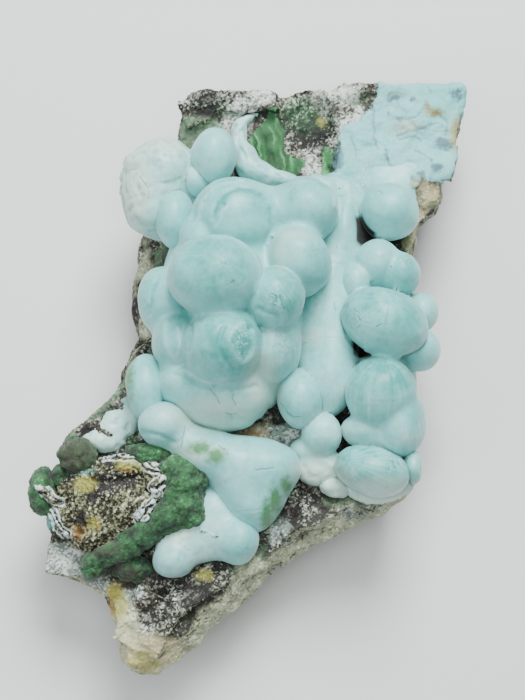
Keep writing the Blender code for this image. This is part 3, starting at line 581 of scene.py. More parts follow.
def noise(points, scale, seed):
    """Smooth random waves of that width, from -1 to 1."""
    place = points / scale
    cell = np.floor(place).astype(np.int64)
    part = place - cell
    part = part * part * (3 - 2 * part)
    total = np.zeros(len(points))
    for corner in itertools.product((0, 1), repeat=3):
        share = np.prod(np.where(corner, part, 1 - part), axis=1)
        total += share * dice(cell + np.array(corner), seed)
    return 2 * total - 1


def fractal(points, scale, octaves, seed):
    """Waves with finer waves on them, each half as wide and half as high as the last."""
    return sum(noise(points, scale / 2**k, seed + k) / 2**k for k in range(octaves))


def warp(points, scale, seeds, octaves=1):
    """A wavy shift of each point, with one seed for each axis."""
    return np.stack([fractal(points, scale, octaves, seed) for seed in seeds], axis=1)


def crumbs(points, size, seed):
    """Grains of that width: distance to the grain's middle, to its border, and its random number."""
    place = points / size
    cell = np.floor(place).astype(np.int64)
    first = np.full(len(points), FAR_AWAY)
    second = first.copy()
    lot = np.zeros(len(points))
    for step in itertools.product((-1, 0, 1), repeat=3):
        near = cell + np.array(step)
        middle = near + np.stack([dice(near, seed + k) for k in range(3)], axis=1)
        gap = np.linalg.norm(place - middle, axis=1)
        nearer = gap < first
        second = np.where(nearer, first, np.minimum(second, gap))
        lot = np.where(nearer, dice(near, seed + 3), lot)
        first = np.where(nearer, gap, first)
    return first, second - first, lot


def ramp(low, high, values):
    """0 below low, 1 above high, and a smooth rise between."""
    t = np.clip((values - low) / (high - low), 0, 1)
    return t * t * (3 - 2 * t)


def inside_outline(points, outline):
    """Distance in mm of each point inside an outline, negative outside it."""
    corners = np.array(outline, float)
    odd = np.zeros(len(points), bool)
    for a, b in zip(corners, np.roll(corners, -1, axis=0)):
        crosses = (a[1] > points[:, 1]) != (b[1] > points[:, 1])
        level = np.where(crosses, points[:, 1] - a[1], 0) / ((b[1] - a[1]) or 1.0)
        odd ^= crosses & (points[:, 0] < a[0] + level * (b[0] - a[0]))
    gap = course_gap(points, [*outline, outline[0]])
    return np.where(odd, gap, -gap)


def course_gap(points, course):
    """Distance in mm of each point to a course of straight runs."""
    nearest = np.full(len(points), np.inf)
    corners = np.array(course, float)
    for a, b in zip(corners, corners[1:]):
        along = b - a
        t = np.clip((points - a) @ along / (along @ along), 0, 1)
        nearest = np.minimum(nearest, np.linalg.norm(points - a - t[:, None] * along, axis=1))
    return nearest


def nearest(points, courses):
    """Distance in mm of each point to the nearest of the courses, with their corners rounded."""
    return np.min([course_gap(points, rounded(course)) for course in courses], axis=0)


def rounded(course):
    """The course with its corners cut off twice."""
    corners = np.array(course, float)
    for _ in range(2):
        steps = np.diff(corners, axis=0)
        cut = np.stack([corners[:-1] + 0.25 * steps, corners[:-1] + 0.75 * steps], axis=1).reshape(-1, 2)
        corners = np.concatenate([corners[:1], cut, corners[-1:]])
    return corners


def inside_round(points, x, y, radius_x, radius_y):
    """About the distance in mm of each point inside an ellipse, negative outside it."""
    reach = np.hypot((points[:, 0] - x) / radius_x, (points[:, 1] - y) / radius_y)
    return (1 - reach) * min(radius_x, radius_y)


def stains(points, table):
    """For each kind in a table, how far in mm each point is inside its nearest stain."""
    return {
        kind: np.max([inside_round(points, *place) for place in places], axis=0, initial=NO_STAIN)
        for kind, places in table.items()
    }


def vectors(items, field):
    """That vector of each of a mesh's items."""
    flat = np.empty(len(items) * 3)
    items.foreach_get(field, flat)
    return flat.reshape(-1, 3)


def table_points(mesh):
    """The mesh's points in the tables' millimetres."""
    return vectors(mesh.vertices, "co") / MM + ORIGIN


def set_points(mesh, points):
    mesh.vertices.foreach_set("co", ((points - ORIGIN) * MM).ravel())
    mesh.update()


def push_out(mesh, points, depth):
    """Moves the points out along the mesh's normals by a depth in mm each."""
    set_points(mesh, points + vectors(mesh.vertex_normals, "vector") * depth[:, None])


def store(mesh, prefix="", **layers):
    """Keeps a number or a vector for each point, for the materials to read."""
    for name, values in layers.items():
        vector = values.ndim == 2
        layer = mesh.attributes.new(prefix + name, "FLOAT_VECTOR" if vector else "FLOAT", "POINT")
        layer.data.foreach_set("vector" if vector else "value", values.astype(np.float32).ravel())


def world(x, y, height):
    """World position in metres of a place on the plate."""
    return (Vector((x, y, height)) - Vector(ORIGIN)) * MM


def select_only(*objects):
    """Selects these objects and makes the first one active."""
    bpy.ops.object.select_all(action="DESELECT")
    for ob in objects:
        ob.select_set(True)
    bpy.context.view_layer.objects.active = objects[0]


def joined(objects, name):
    """The objects as one, with its place in its mesh."""
    select_only(*objects)
    bpy.ops.object.join()
    bpy.ops.object.transform_apply(location=True, rotation=True, scale=True)
    ob = bpy.context.active_object
    ob.name = name
    ob.data.name = name
    return ob


def apply_modifier(ob, kind, **settings):
    modifier = ob.modifiers.new(kind, kind)
    for key, value in settings.items():
        setattr(modifier, key, value)
    bpy.ops.object.modifier_apply(modifier=modifier.name)


def cut_off(ob, point, normal):
    """Cuts off what is behind a plane and closes the cut."""
    bpy.ops.object.mode_set(mode="EDIT")
    bpy.ops.mesh.select_all(action="SELECT")
    bpy.ops.mesh.bisect(plane_co=point, plane_no=normal, clear_inner=True, use_fill=True)
    bpy.ops.object.mode_set(mode="OBJECT")


def refine(mesh, chosen, cuts):
    """Divides the chosen faces into finer ones."""
    if not chosen.any():
        return
    mesh.polygons.foreach_set("select", chosen)
    bpy.ops.object.mode_set(mode="EDIT")
    bpy.ops.mesh.select_mode(type="FACE")
    bpy.ops.mesh.subdivide(number_cuts=cuts)
    bpy.ops.object.mode_set(mode="OBJECT")


def lump_object(lump, subdivisions=5):
    """A ball at a lump's place, turned and stretched to its radii."""
    x, y, height, radius_x, radius_y, radius_z, turn = lump[1:8]
    bpy.ops.mesh.primitive_ico_sphere_add(
        subdivisions=subdivisions,
        location=world(x, y, height),
        rotation=(0.0, 0.0, math.radians(turn)),
        scale=(radius_x * MM, radius_y * MM, radius_z * MM),
    )
    return bpy.context.active_object


def turned(vectors, turn):
    """Vectors as seen from a lump that is turned about Z."""
    c, s = math.cos(math.radians(turn)), math.sin(math.radians(turn))
    x, y, z = np.moveaxis(vectors, -1, 0)
    return np.stack([x * c + y * s, y * c - x * s, z], axis=-1)


def in_radii(points, lump):
    """Places seen from a lump's middle, turned with it and measured in its radii."""
    return turned(points - np.array(lump[1:4]), lump[7]) / np.array(lump[4:7])


def on_lump(points, lump):
    """How far in mm each point lies outside a lump, about, and its direction from the lump's middle."""
    own = in_radii(points, lump)
    reach = np.maximum(np.linalg.norm(own, axis=1), 0.001)
    slope = np.linalg.norm(own / np.array(lump[4:7]), axis=1)
    return reach * (reach - 1) / slope, own / reach[:, None]


def outside_all(points):
    """How far in mm each point lies outside the nearest of all lumps."""
    return np.min([on_lump(points, lump)[0] for lump in ALL_LUMPS], axis=0)


def grown_skin(points, lumps):
    """How far each point lies outside the lumps' joined skin, with its soft valleys and open gaps."""
    total = np.full(len(points), FAR_AWAY)
    valley = np.zeros(len(points))
    gap = valley.copy()
    for lump in lumps:
        fillet = max(abs(lump[8]), 0.05)
        reach = on_lump(points, lump)[0]
        apart = np.abs(total - reach)
        cover = np.exp(-np.maximum(total - reach, 0))
        valley *= cover
        gap *= cover
        if lump[8] >= SOFT_FILLET:
            valley = np.maximum(valley, np.exp(-apart / VALLEY_WIDTH) * min(1, SOFT_FILLET / fillet))
        else:
            gap = np.maximum(gap, np.exp(-apart / GAP_WIDTH))
        near = np.clip(1 - apart / fillet, 0, 1) ** 2
        total = np.minimum(total, reach) - math.copysign(fillet / 4, lump[8]) * near
    return total, valley, gap


def skin_layers(points, lumps):
    """How teal and how rough the crust is at each point, and coordinates that run round and down a lump."""
    best = np.full(len(points), np.inf)
    flow = np.zeros((len(points), 3))
    clear = np.zeros(len(points))
    weights = np.zeros(len(points))
    teal = np.zeros(len(points))
    rough = np.zeros(len(points))
    streak = np.zeros(len(points))
    for number, lump in enumerate(lumps):
        reach, direction = on_lump(points, lump)
        lean = np.array((*POLES.get(lump[0], DEFAULT_POLE), 1.0))
        pole = turned(lean / np.linalg.norm(lean), lump[7])
        side = np.cross(pole, (0.0, 1.0, 0.0))
        side /= np.linalg.norm(side)
        over = direction @ pole
        weight = np.exp(-np.clip(reach, -6, 12) / TONE_BLEND)
        weights += weight
        teal += weight * lump[9] * (0.55 + 0.45 * ramp(0.0, 0.95, over))
        rough += weight * lump[10]
        streak += weight * STREAKS.get(lump[0], FAINT_STREAKS)
        round_pole = np.arctan2(direction @ np.cross(pole, side), direction @ side)
        down = np.arccos(np.clip(over, -1, 1)) * sum(lump[4:7]) / 3
        circle = (np.cos(round_pole) + 3.0 * number, np.sin(round_pole) + 5.0 * number)
        own = np.stack([*circle, down / 10], axis=1)
        nearer = reach < best
        flow[nearer] = own[nearer]
        clear = np.where(nearer, best - reach, np.minimum(clear, reach - best))
        best = np.minimum(best, reach)
    streak *= ramp(0.2, 2.0, clear)
    return {"teal": teal / weights, "rough": rough / weights, "flow": flow, "streak": streak / weights}


def grown_shell(name, lumps, step, extra=()):
    """The lumps and any extra objects grown together as one closed skin."""
    ob = joined([lump_object(lump) for lump in lumps] + list(extra), name)
    apply_modifier(ob, "REMESH", mode="VOXEL", voxel_size=step)
    apply_modifier(ob, "SMOOTH", factor=0.5, iterations=2)
    return ob


def settle(mesh, lumps):
    """Moves the points onto the lumps' joined skin."""
    for _ in range(SETTLE_ROUNDS):
        points = table_points(mesh)
        outside = grown_skin(points, lumps)[0]
        push_out(mesh, points, -np.clip(outside, -SETTLE_REACH, SETTLE_REACH))


def finish_piece(ob, material, angle=180.0):
    """Shades the piece, gives it its material and ties it to the solid."""
    select_only(ob)
    bpy.ops.object.shade_smooth_by_angle(angle=math.radians(angle))
    ob.data.materials.clear()
    ob.data.materials.append(material)
    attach(ob, BODY)
    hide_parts(NODE)


def mark_gaps(points):
    """Distance in mm of each point to the nearest fine mark of each kind."""
    flat = points[:, :2] + 0.22 * warp(points, 1.1, (21, 22))
    return {kind: nearest(flat, courses) for kind, courses in MARKS.items()}


def grow_lumps(context, name, lumps):
    """A cluster of crusted lumps with soft valleys, uneven skins, fine marks and eroded places."""
    sizes = context.scene.specimen_sizes
    ob = grown_shell(name, lumps, sizes.lump_step)
    mesh = ob.data
    settle(mesh, lumps)
    faces = vectors(mesh.polygons, "center") / MM + ORIGIN
    refine(mesh, mark_gaps(faces)["crack"] < MARK_REACH, 2)
    cut_off(ob, world(0.0, 0.0, LUMPS_END), UP)
    points = table_points(mesh)
    _, valley, gap = grown_skin(points, lumps)
    skin = skin_layers(points, lumps)
    marks = mark_gaps(points)
    # Broad swells, waves and ripples first, then open gaps, streaks, eroded pits, marks and sunken specks
    depth = sizes.swell / MM * fractal(points, 10.0, 2, 11) + 0.12 * noise(points, 3.0, 15)
    depth += 0.025 * noise(points, 0.9, 17) - 0.25 * gap * gap
    depth += 0.1 * skin["streak"] * noise(skin["flow"] * (5.0, 5.0, 1.2), 1.0, 19)
    ridges = 1 - np.abs(fractal(points, 2.8, 3, 31))
    pits = 0.45 * (ridges - 0.7) - 0.3 * ramp(0.25, 0.6, noise(points, 1.1, 23))
    depth += skin["rough"] * sizes.erosion / MM * pits
    for kind, (half_width, height) in MARK_KINDS.items():
        skin["mark_" + kind] = np.exp(-(marks[kind] / half_width) ** 2)
        depth += height * skin["mark_" + kind]
    layers = stains(points, LUMP_STAINS)
    # The painted shade of the open gaps reaches only up to a height
    layers["gap_shade"] = np.minimum(layers["gap_shade"], GAP_SHADE_TOP - points[:, 2])
    depth -= 0.3 * ramp(-0.2, 0.5, layers["speck"])
    push_out(mesh, points, depth)
    store(mesh, valley=valley, gap=gap, pits=pits, **skin)
    store(mesh, "stain_", **layers)
    finish_piece(ob, botryoidal_chrysocolla(context))
    return {"FINISHED"}


class GrowCrown(bpy.types.Operator):
    """Grow the tall cluster of lumps in the middle"""

    bl_idname = "specimen.grow_crown"
    bl_label = "Crown lumps"

    def execute(self, context):
        return grow_lumps(context, "crown_lumps", CROWN)


class GrowSlope(bpy.types.Operator):
    """Grow the smooth slope between the crown and the bank, with its folds at the top"""

    bl_idname = "specimen.grow_slope"
    bl_label = "Slope and drape"

    def execute(self, context):
        return grow_lumps(context, "slope_lumps", SLOPE)


class GrowBank(bpy.types.Operator):
    """Grow the bank of lumps at the right"""

    bl_idname = "specimen.grow_bank"
    bl_label = "Right bank"

    def execute(self, context):
        return grow_lumps(context, "bank_lumps", RIGHT_BANK)


class GrowUpperLeft(bpy.types.Operator):
    """Grow the eroded lumps at the upper left"""

    bl_idname = "specimen.grow_upper_left"
    bl_label = "Upper left lumps"

    def execute(self, context):
        return grow_lumps(context, "upper_left_lumps", UPPER_LEFT)


class GrowSaddle(bpy.types.Operator):
    """Grow the smooth saddle under the crown"""

    bl_idname = "specimen.grow_saddle"
    bl_label = "Saddle"

    def execute(self, context):
        return grow_lumps(context, "saddle_lumps", SADDLE)


class GrowFeet(bpy.types.Operator):
    """Grow the feet below the saddle and the lumps on the left ledge"""

    bl_idname = "specimen.grow_feet"
    bl_label = "Feet and ledge"

    def execute(self, context):
        return grow_lumps(context, "foot_lumps", FEET + LEFT_LEDGE)


class GrowMalachite(bpy.types.Operator):
    """Grow the velvety green lobes of the broken dome"""

    bl_idname = "specimen.grow_malachite"
    bl_label = "Malachite lobes"

    def execute(self, context):
        sizes = context.scene.specimen_sizes
        ob = grown_shell("malachite_lobes", MALACHITE, sizes.malachite_step)
        mesh = ob.data
        settle(mesh, MALACHITE)
        cut_off(ob, world(0.0, 0.0, MALACHITE_END), UP)
        points = table_points(mesh)
        _, valley, gap = grown_skin(points, MALACHITE)
        knob = crumbs(points + 0.5 * warp(points, 1.5, (47, 48, 49)), sizes.knob / MM, 41)[0]
        tuft, _, lot = crumbs(points, sizes.velvet / MM, 45)
        relief = 0.55 * (0.5 - knob) + 0.22 * (0.5 - tuft) + 0.16 * (lot - 0.5)
        depth = 0.8 * fractal(points, 3.6, 3, 43) + relief - 0.6 * gap * gap
        push_out(mesh, points, depth)
        # The gaps and valleys between the lobes are kept for the painted shade in them
        store(mesh, relief=relief, gap=np.maximum(gap, 0.6 * valley))
        store(mesh, "stain_", **stains(points, MALACHITE_STAINS))
        finish_piece(ob, velvet_malachite(context))
        return {"FINISHED"}


def top_height(x, y, lumps):
    """Height of the lumps' top over a place on the plate."""
    heights = []
    for lump in lumps:
        own = in_radii(np.array([x, y, lump[3]]), lump)
        flat = float(own @ own)
        if flat < 1:
            heights.append(lump[3] + lump[6] * math.sqrt(1 - flat))
    return max(heights, default=0.0)


def frill_beads():
    """Small round beads in rows along the frilled rims of the broken malachite."""
    beads = []
    for course in FRILLS:
        corners = np.array(course)
        along = np.cumsum([0.0, *np.linalg.norm(np.diff(corners, axis=0), axis=1)])
        for number, place in enumerate(np.arange(0.0, along[-1], BEAD_SPACING)):
            x, y = (np.interp(place, along, corners[:, axis]) for axis in (0, 1))
            wave = dice(np.array([number, len(course), 7]), 3)
            radius = BEAD_RADIUS * (0.75 + 0.5 * wave)
            height = top_height(x, y, BROKEN_CORE) + 0.3 * wave
            bead = ("bead", x, y, height, radius, radius, 1.3 * radius, 0.0)
            beads.append(lump_object(bead, subdivisions=2))
    return beads


class BreakCore(bpy.types.Operator):
    """Fill the broken top of the dome with its frilled and speckled crumbs"""

    bl_idname = "specimen.break_core"
    bl_label = "Broken core"

    def execute(self, context):
        sizes = context.scene.specimen_sizes
        ob = grown_shell("broken_core", BROKEN_CORE, sizes.core_step, frill_beads())
        mesh = ob.data
        cut_off(ob, world(0.0, 0.0, LUMPS_END), UP)
        points = table_points(mesh)
        layers = stains(points, CORE_STAINS)
        edge = nearest(points[:, :2], FRILLS)
        edge += 0.4 * noise(points, 1.3, 63) + 0.15 * noise(points, 0.6, 65)
        frill = np.exp(-((edge - 0.2) / 1.3) ** 2) * (0.5 + 0.5 * np.cos(edge * math.tau / FRILL_SPACING))
        layer = np.cos((edge + 0.5 * noise(points, 2.4, 67)) * math.tau / LAYER_SPACING)
        warped = points + 0.35 * warp(points, 1.7, (51, 52, 53))
        tuft = crumbs(warped, sizes.crumb / MM, 55)[0]
        small_lot = crumbs(points, 0.5 * sizes.crumb / MM, 59)[2]
        across, along = warped @ (0.6, -0.8, 0.0), warped @ (0.8, 0.6, 0.0)
        rows = np.stack([across / 0.6, along / 3.5, warped[:, 2] / 0.9], axis=1)
        ridges = (noise(rows, 1.0, 57) + layer) * ramp(0.6, -0.6, layers["dark"])
        relief = 0.16 * ridges + 0.4 * (0.5 - tuft) + 0.3 * (small_lot - 0.5)
        depth = relief * (1 - 0.5 * frill) + 0.4 * frill + 0.45 * noise(points, 4.0, 61)
        depth -= 0.9 * ramp(-0.4, 0.5, layers["pit"])
        push_out(mesh, points, depth)
        store(mesh, relief=relief, frill=frill)
        store(mesh, "stain_", **layers)
        finish_piece(ob, crumbled_core(context))
        return {"FINISHED"}


def outward(points):
    """Unit vector out of a counterclockwise outline at each of its points."""
    along = np.roll(points, -1, axis=0) - np.roll(points, 1, axis=0)
    out = np.stack([along[:, 1], -along[:, 0]], axis=1)
    return out / np.linalg.norm(out, axis=1, keepdims=True)


def slab():
    """The slab of rock: a ring at the rim, extruded down the flared sides ring by ring."""
    table = np.array(RIM)
    rim = table[:, :2]
    rings = [[world(x, y, -drop) for x, y, drop, _ in RIM]]
    inward = rim.mean(axis=0) - rim
    inward /= np.linalg.norm(inward, axis=1, keepdims=True)
    for over_floor, share, inset in SIDE_RINGS:
        ring = rim + outward(rim) * table[:, 3:4] * share + inward * inset
        rings.append([world(x, y, over_floor - FACE_Z) for x, y in ring])
    bpy.ops.mesh.primitive_circle_add(vertices=len(RIM), radius=MM, fill_type="NGON")
    ob = bpy.context.active_object
    for number, ring in enumerate(rings):
        if number:
            bpy.ops.object.mode_set(mode="EDIT")
            bpy.ops.mesh.extrude_region_move()
            bpy.ops.object.mode_set(mode="OBJECT")
        for vertex, point in zip(ob.data.vertices[number * len(RIM):], ring):
            vertex.co = point
    bpy.ops.object.mode_set(mode="EDIT")
    bpy.ops.mesh.select_all(action="SELECT")
    bpy.ops.mesh.quads_convert_to_tris()
    bpy.ops.mesh.normals_make_consistent(inside=False)
    bpy.ops.object.mode_set(mode="OBJECT")
    return ob


def rock_block(block):
    """A block of rock, turned about Z and tilted about its own length."""
    x, y, height, half_x, half_y, half_z, turn, tilt = block[1:]
    turning = Matrix.Rotation(math.radians(turn), 4, "Z") @ Matrix.Rotation(math.radians(tilt), 4, "X")
    bpy.ops.mesh.primitive_cube_add(
        size=2.0,
        location=world(x, y, height),
        rotation=turning.to_euler(),
        scale=(half_x * MM, half_y * MM, half_z * MM),
    )
    return bpy.context.active_object


def lower_right(points):
    """How far in mm each point lies toward the plate's long lower right edge."""
    return points[:, 0] - 0.9 * points[:, 1]


def bare_faces(mesh):
    """The parts of the plate's face that no lump covers, and the broken band under its edge."""
    centres = vectors(mesh.polygons, "center") / MM + ORIGIN
    near_edge = (centres[:, 1] > TOP_EDGE) | (centres[:, 0] < LEFT_EDGE) | (lower_right(centres) > RIGHT_EDGE)
    lowest = np.where(near_edge, FINE_SIDE_END, FINE_FACE_END)
    return (outside_all(centres) > -0.4) & (centres[:, 2] > lowest)


class BreakPlate(bpy.types.Operator):
    """Break the plate of matrix rock out of the vein, with its grains, crust and stains"""

    bl_idname = "specimen.break_plate"
    bl_label = "Plate of rock"

    def execute(self, context):
        sizes = context.scene.specimen_sizes
        swellings = [
            lump_object(("swelling", x, y, UNDERSIDE_MIDDLE - FACE_Z, *radii, UNDERSIDE_DEPTH, 0))
            for x, y, *radii in UNDERSIDE
        ]
        ob = joined([slab(), *(rock_block(block) for block in ROCK_BLOCKS), *swellings], "matrix_lower")
        apply_modifier(ob, "REMESH", mode="VOXEL", voxel_size=sizes.plate_step)
        for name, kind, scale, depth in (("hollows", "CLOUDS", 9.0, 2.0), ("chips", "VORONOI", 4.0, 1.3)):
            texture = bpy.data.textures.new(name, kind)
            texture.noise_scale = scale * MM
            apply_modifier(
                ob, "DISPLACE", texture=texture, texture_coords="LOCAL", strength=depth * MM, mid_level=0.6
            )
        refine(ob.data, bare_faces(ob.data), 2)
        self.detail(ob.data, sizes)
        cut_off(ob, (0.0, 0.0, 0.0), UP)
        material = matrix_rock(context)
        select_only(ob)
        bpy.ops.object.duplicate()
        upper = bpy.context.active_object
        upper.name = upper.data.name = "matrix_upper"
        middle = world(0.0, PLATE_PARTING, 0.0)
        for half, way in ((upper, 1.0), (ob, -1.0)):
            select_only(half)
            cut_off(half, middle, (0.0, way, 0.0))
            finish_piece(half, material, angle=70.0)
        return {"FINISHED"}

    def detail(self, mesh, sizes):
        """Hollows, crust, fibres and grains of the plate, and what its material needs to know of them."""
        points = table_points(mesh)
        for hollow in HOLLOWS:
            own = in_radii(points, hollow)
            flat = np.hypot(own[:, 0], own[:, 1])
            bottom = hollow[3] - hollow[6] * np.sqrt(np.clip(1 - flat * flat, 0, 1))
            carved = (flat < 1) & (points[:, 2] > bottom) & (points[:, 2] > HOLLOWS_END)
            points[:, 2] = np.where(carved, bottom, points[:, 2])
        set_points(mesh, points)
        top = ramp(0.25, 0.6, vectors(mesh.vertex_normals, "vector")[:, 2]) * ramp(-9.0, -5.0, points[:, 2])
        flat = points[:, :2] + 0.55 * warp(points, 2.2, (71, 75), 3)
        layers = stains(flat, PLATE_STAINS)
        for kind, outlines in PATCHES.items():
            inside = np.max([inside_outline(flat, outline) for outline in outlines], axis=0)
            layers[kind] = np.maximum(layers.get(kind, NO_STAIN), inside)
        layers = {kind: np.where(top > 0.5, reach, np.minimum(reach, -0.6)) for kind, reach in layers.items()}
        # Painted shade in dark rims round the lumps' bases where there is no crust, and a pale band down the
        # broken edge
        base_shade_rims = np.where(layers["crust"] < 0, 0.9 - outside_all(points), NO_STAIN)
        layers["dark"] = np.maximum(layers["dark"], base_shade_rims)
        rim = inside_outline(points[:, :2], [row[:2] for row in RIM])
        right_side = ramp(10.0, 16.0, lower_right(points))
        layers["band"] = np.maximum(BAND_WIDTH - rim, -BAND_WIDTH) * right_side + NO_STAIN * (1 - right_side)
        cracks = np.exp(-(nearest(flat, PLATE_MARKS) / 0.25) ** 2) * top
        crust = ramp(-0.15, 0.35, layers["crust"])
        chalk = ramp(-0.2, 0.6, layers["chalk"])
        fibre = ramp(-0.1, 0.2, layers["fibre"])
        smooth = ramp(-0.2, 0.6, layers["stone"])
        tuft, border, lot = crumbs(points, sizes.grain / MM, 81)
        coarse = fractal(points, 3.0, 3, 85)
        grains = sizes.grain_relief / MM * ((lot - 0.6) * ramp(0.0, 0.25, border) - 0.25 + 0.55 * coarse)
        skin = 0.35 + 0.25 * fractal(points, 3.5, 3, 91) + 0.14 * fractal(points, 1.1, 2, 95) - 0.12 * cracks
        # The leaf's fibres are too fine to show, so they are drawn coarser
        across, along = flat @ (0.98, 0.2) / FIBRE_WIDTH, flat @ (-0.2, 0.98) / FIBRE_LENGTH
        lanes = noise(np.stack([across, along, 0 * along], axis=1), 1.0, 97)
        depth = grains * (1 - crust) * (1 - 0.6 * smooth) + skin * crust
        depth = depth * (1 - 0.6 * chalk) + 0.3 * chalk * (0.5 - tuft)
        depth = depth * (1 - fibre) + fibre * (0.14 * lanes + 0.3 * noise(points, 3.0, 99))
        push_out(mesh, points, depth)
        relief = (lot - 0.5) * ramp(0.0, 0.3, border) + 0.9 * coarse
        store(mesh, relief=relief, cracks=cracks, lanes=lanes, face=top)
        store(mesh, "stain_", **layers)


def add(tree, kind, inputs=None, stops=None, **settings):
    """Adds a node with its settings. An input that is another node's socket is linked."""
    node = tree.nodes.new(kind)
    for key, value in settings.items():
        setattr(node, key, value)
    for key, value in (inputs or {}).items():
        if isinstance(value, bpy.types.NodeSocket):
            tree.links.new(value, node.inputs[key])
        else:
            node.inputs[key].default_value = value
    if stops:
        elements = node.color_ramp.elements
        elements.remove(elements[1])
        elements[0].position, elements[0].color = stops[0]
        for position, shade in stops[1:]:
            elements.new(position).color = shade
    return node


def new_material(name):
    """An empty node tree with an output, and its object coordinates in millimetres."""
    material = bpy.data.materials.new(name)
    material.use_nodes = True
    tree = material.node_tree
    tree.nodes.clear()
    where = add(tree, "ShaderNodeTexCoord").outputs["Object"]
    scale = add(tree, "ShaderNodeMapping", {"Vector": where, "Scale": (1 / MM, 1 / MM, 1 / MM)})
    return material, tree, scale.outputs["Vector"]


def weighed(tree, *terms):
    """The sum of shares. Each term is a share and its source: a socket, a number or an attribute's name."""
    total = 0.0
    for share, source in terms:
        if isinstance(source, str):
            source = add(tree, "ShaderNodeAttribute", attribute_name=source).outputs["Fac"]
        total = add(
            tree, "ShaderNodeMath", {0: source, 1: share, 2: total}, operation="MULTIPLY_ADD"
        ).outputs["Value"]
    return total


def mask(tree, source, low, high, weakest=0.0, strongest=1.0, times=None):
    """From weakest to strongest as the source goes from low to high, times another mask if there is one."""
    value = weighed(tree, (1.0, source)) if isinstance(source, str) else source
    stretched = add(tree, "ShaderNodeMapRange", {
        "Value": value, "From Min": low, "From Max": high, "To Min": weakest, "To Max": strongest,
    }).outputs["Result"]
    if times is None:
        return stretched
    return add(tree, "ShaderNodeMath", {0: stretched, 1: times}, operation="MULTIPLY").outputs["Value"]


def coat(tree, body, shade, source, low=0.0, high=1.0, strength=1.0, times=None):
    """Another shade over the body, by a mask of the source."""
    cover = mask(tree, source, low, high, 0.0, strength, times)
    return add(tree, "ShaderNodeMix", {0: cover, 6: body, 7: shade}, data_type="RGBA").outputs[2]


def stain_coats(tree, body, mottle, share, rows):
    """Stains over the body, with edges that are broken up by a share of mottle."""
    for kind, shade, low, high, strength in rows:
        edge = weighed(tree, (1.0, "stain_" + kind), (share, mottle))
        body = coat(tree, body, shade, edge, low, high, strength)
    return body


def waves(tree, where, scale, detail=3.0, roughness=0.5):
    """Noise around 0."""
    node = add(tree, "ShaderNodeTexNoise", {
        "Vector": where, "Scale": scale, "Detail": detail, "Roughness": roughness,
    })
    return mask(tree, node.outputs["Fac"], 0.0, 1.0, -1.0, 1.0)


def cells(tree, where, width):
    """A random number for each grain of that width in mm."""
    node = add(tree, "ShaderNodeTexVoronoi", {"Vector": where, "Scale": 1 / width})
    return add(tree, "ShaderNodeSeparateColor", {"Color": node.outputs["Color"]}).outputs["Red"]


def crack_net(tree, where, cell, width, times):
    """Cracks round cells of that size in mm, each a share of a cell wide, times another mask."""
    net = add(tree, "ShaderNodeTexVoronoi", {"Vector": where, "Scale": 1 / cell}, feature="DISTANCE_TO_EDGE")
    return mask(tree, net.outputs["Distance"], width, 0.0, times=times)


def surface(tree, inputs, height=None, strength=0.0, depth=0.0):
    """The shader with its inputs and the output, and fine relief of a depth in mm where a height is given."""
    if height is not None:
        bump = add(tree, "ShaderNodeBump", {"Height": height, "Strength": strength, "Distance": depth * MM})
        inputs["Normal"] = bump.outputs["Normal"]
    shader = add(tree, "ShaderNodeBsdfPrincipled", inputs)
    add(tree, "ShaderNodeOutputMaterial", {"Surface": shader.outputs["BSDF"]})


def malachite_ramp(tree, value, colours):
    """Malachite from dark to light green: over the lobes' relief this is painted shade in the hollows and
    painted light on the tips.
    """
    return add(tree, "ShaderNodeValToRGB", {"Fac": value}, stops=(
        (0.05, colours.malachite_dark), (0.55, colours.malachite), (1.0, colours.malachite_light),
    )).outputs["Color"]


def rock_grains(tree, value, *shades):
    """Grains from their dark pits to their white tips."""
    places = (0.12, 0.34, 0.55, 0.8)
    return add(tree, "ShaderNodeValToRGB", {"Fac": value}, stops=tuple(zip(places, shades))).outputs["Color"]


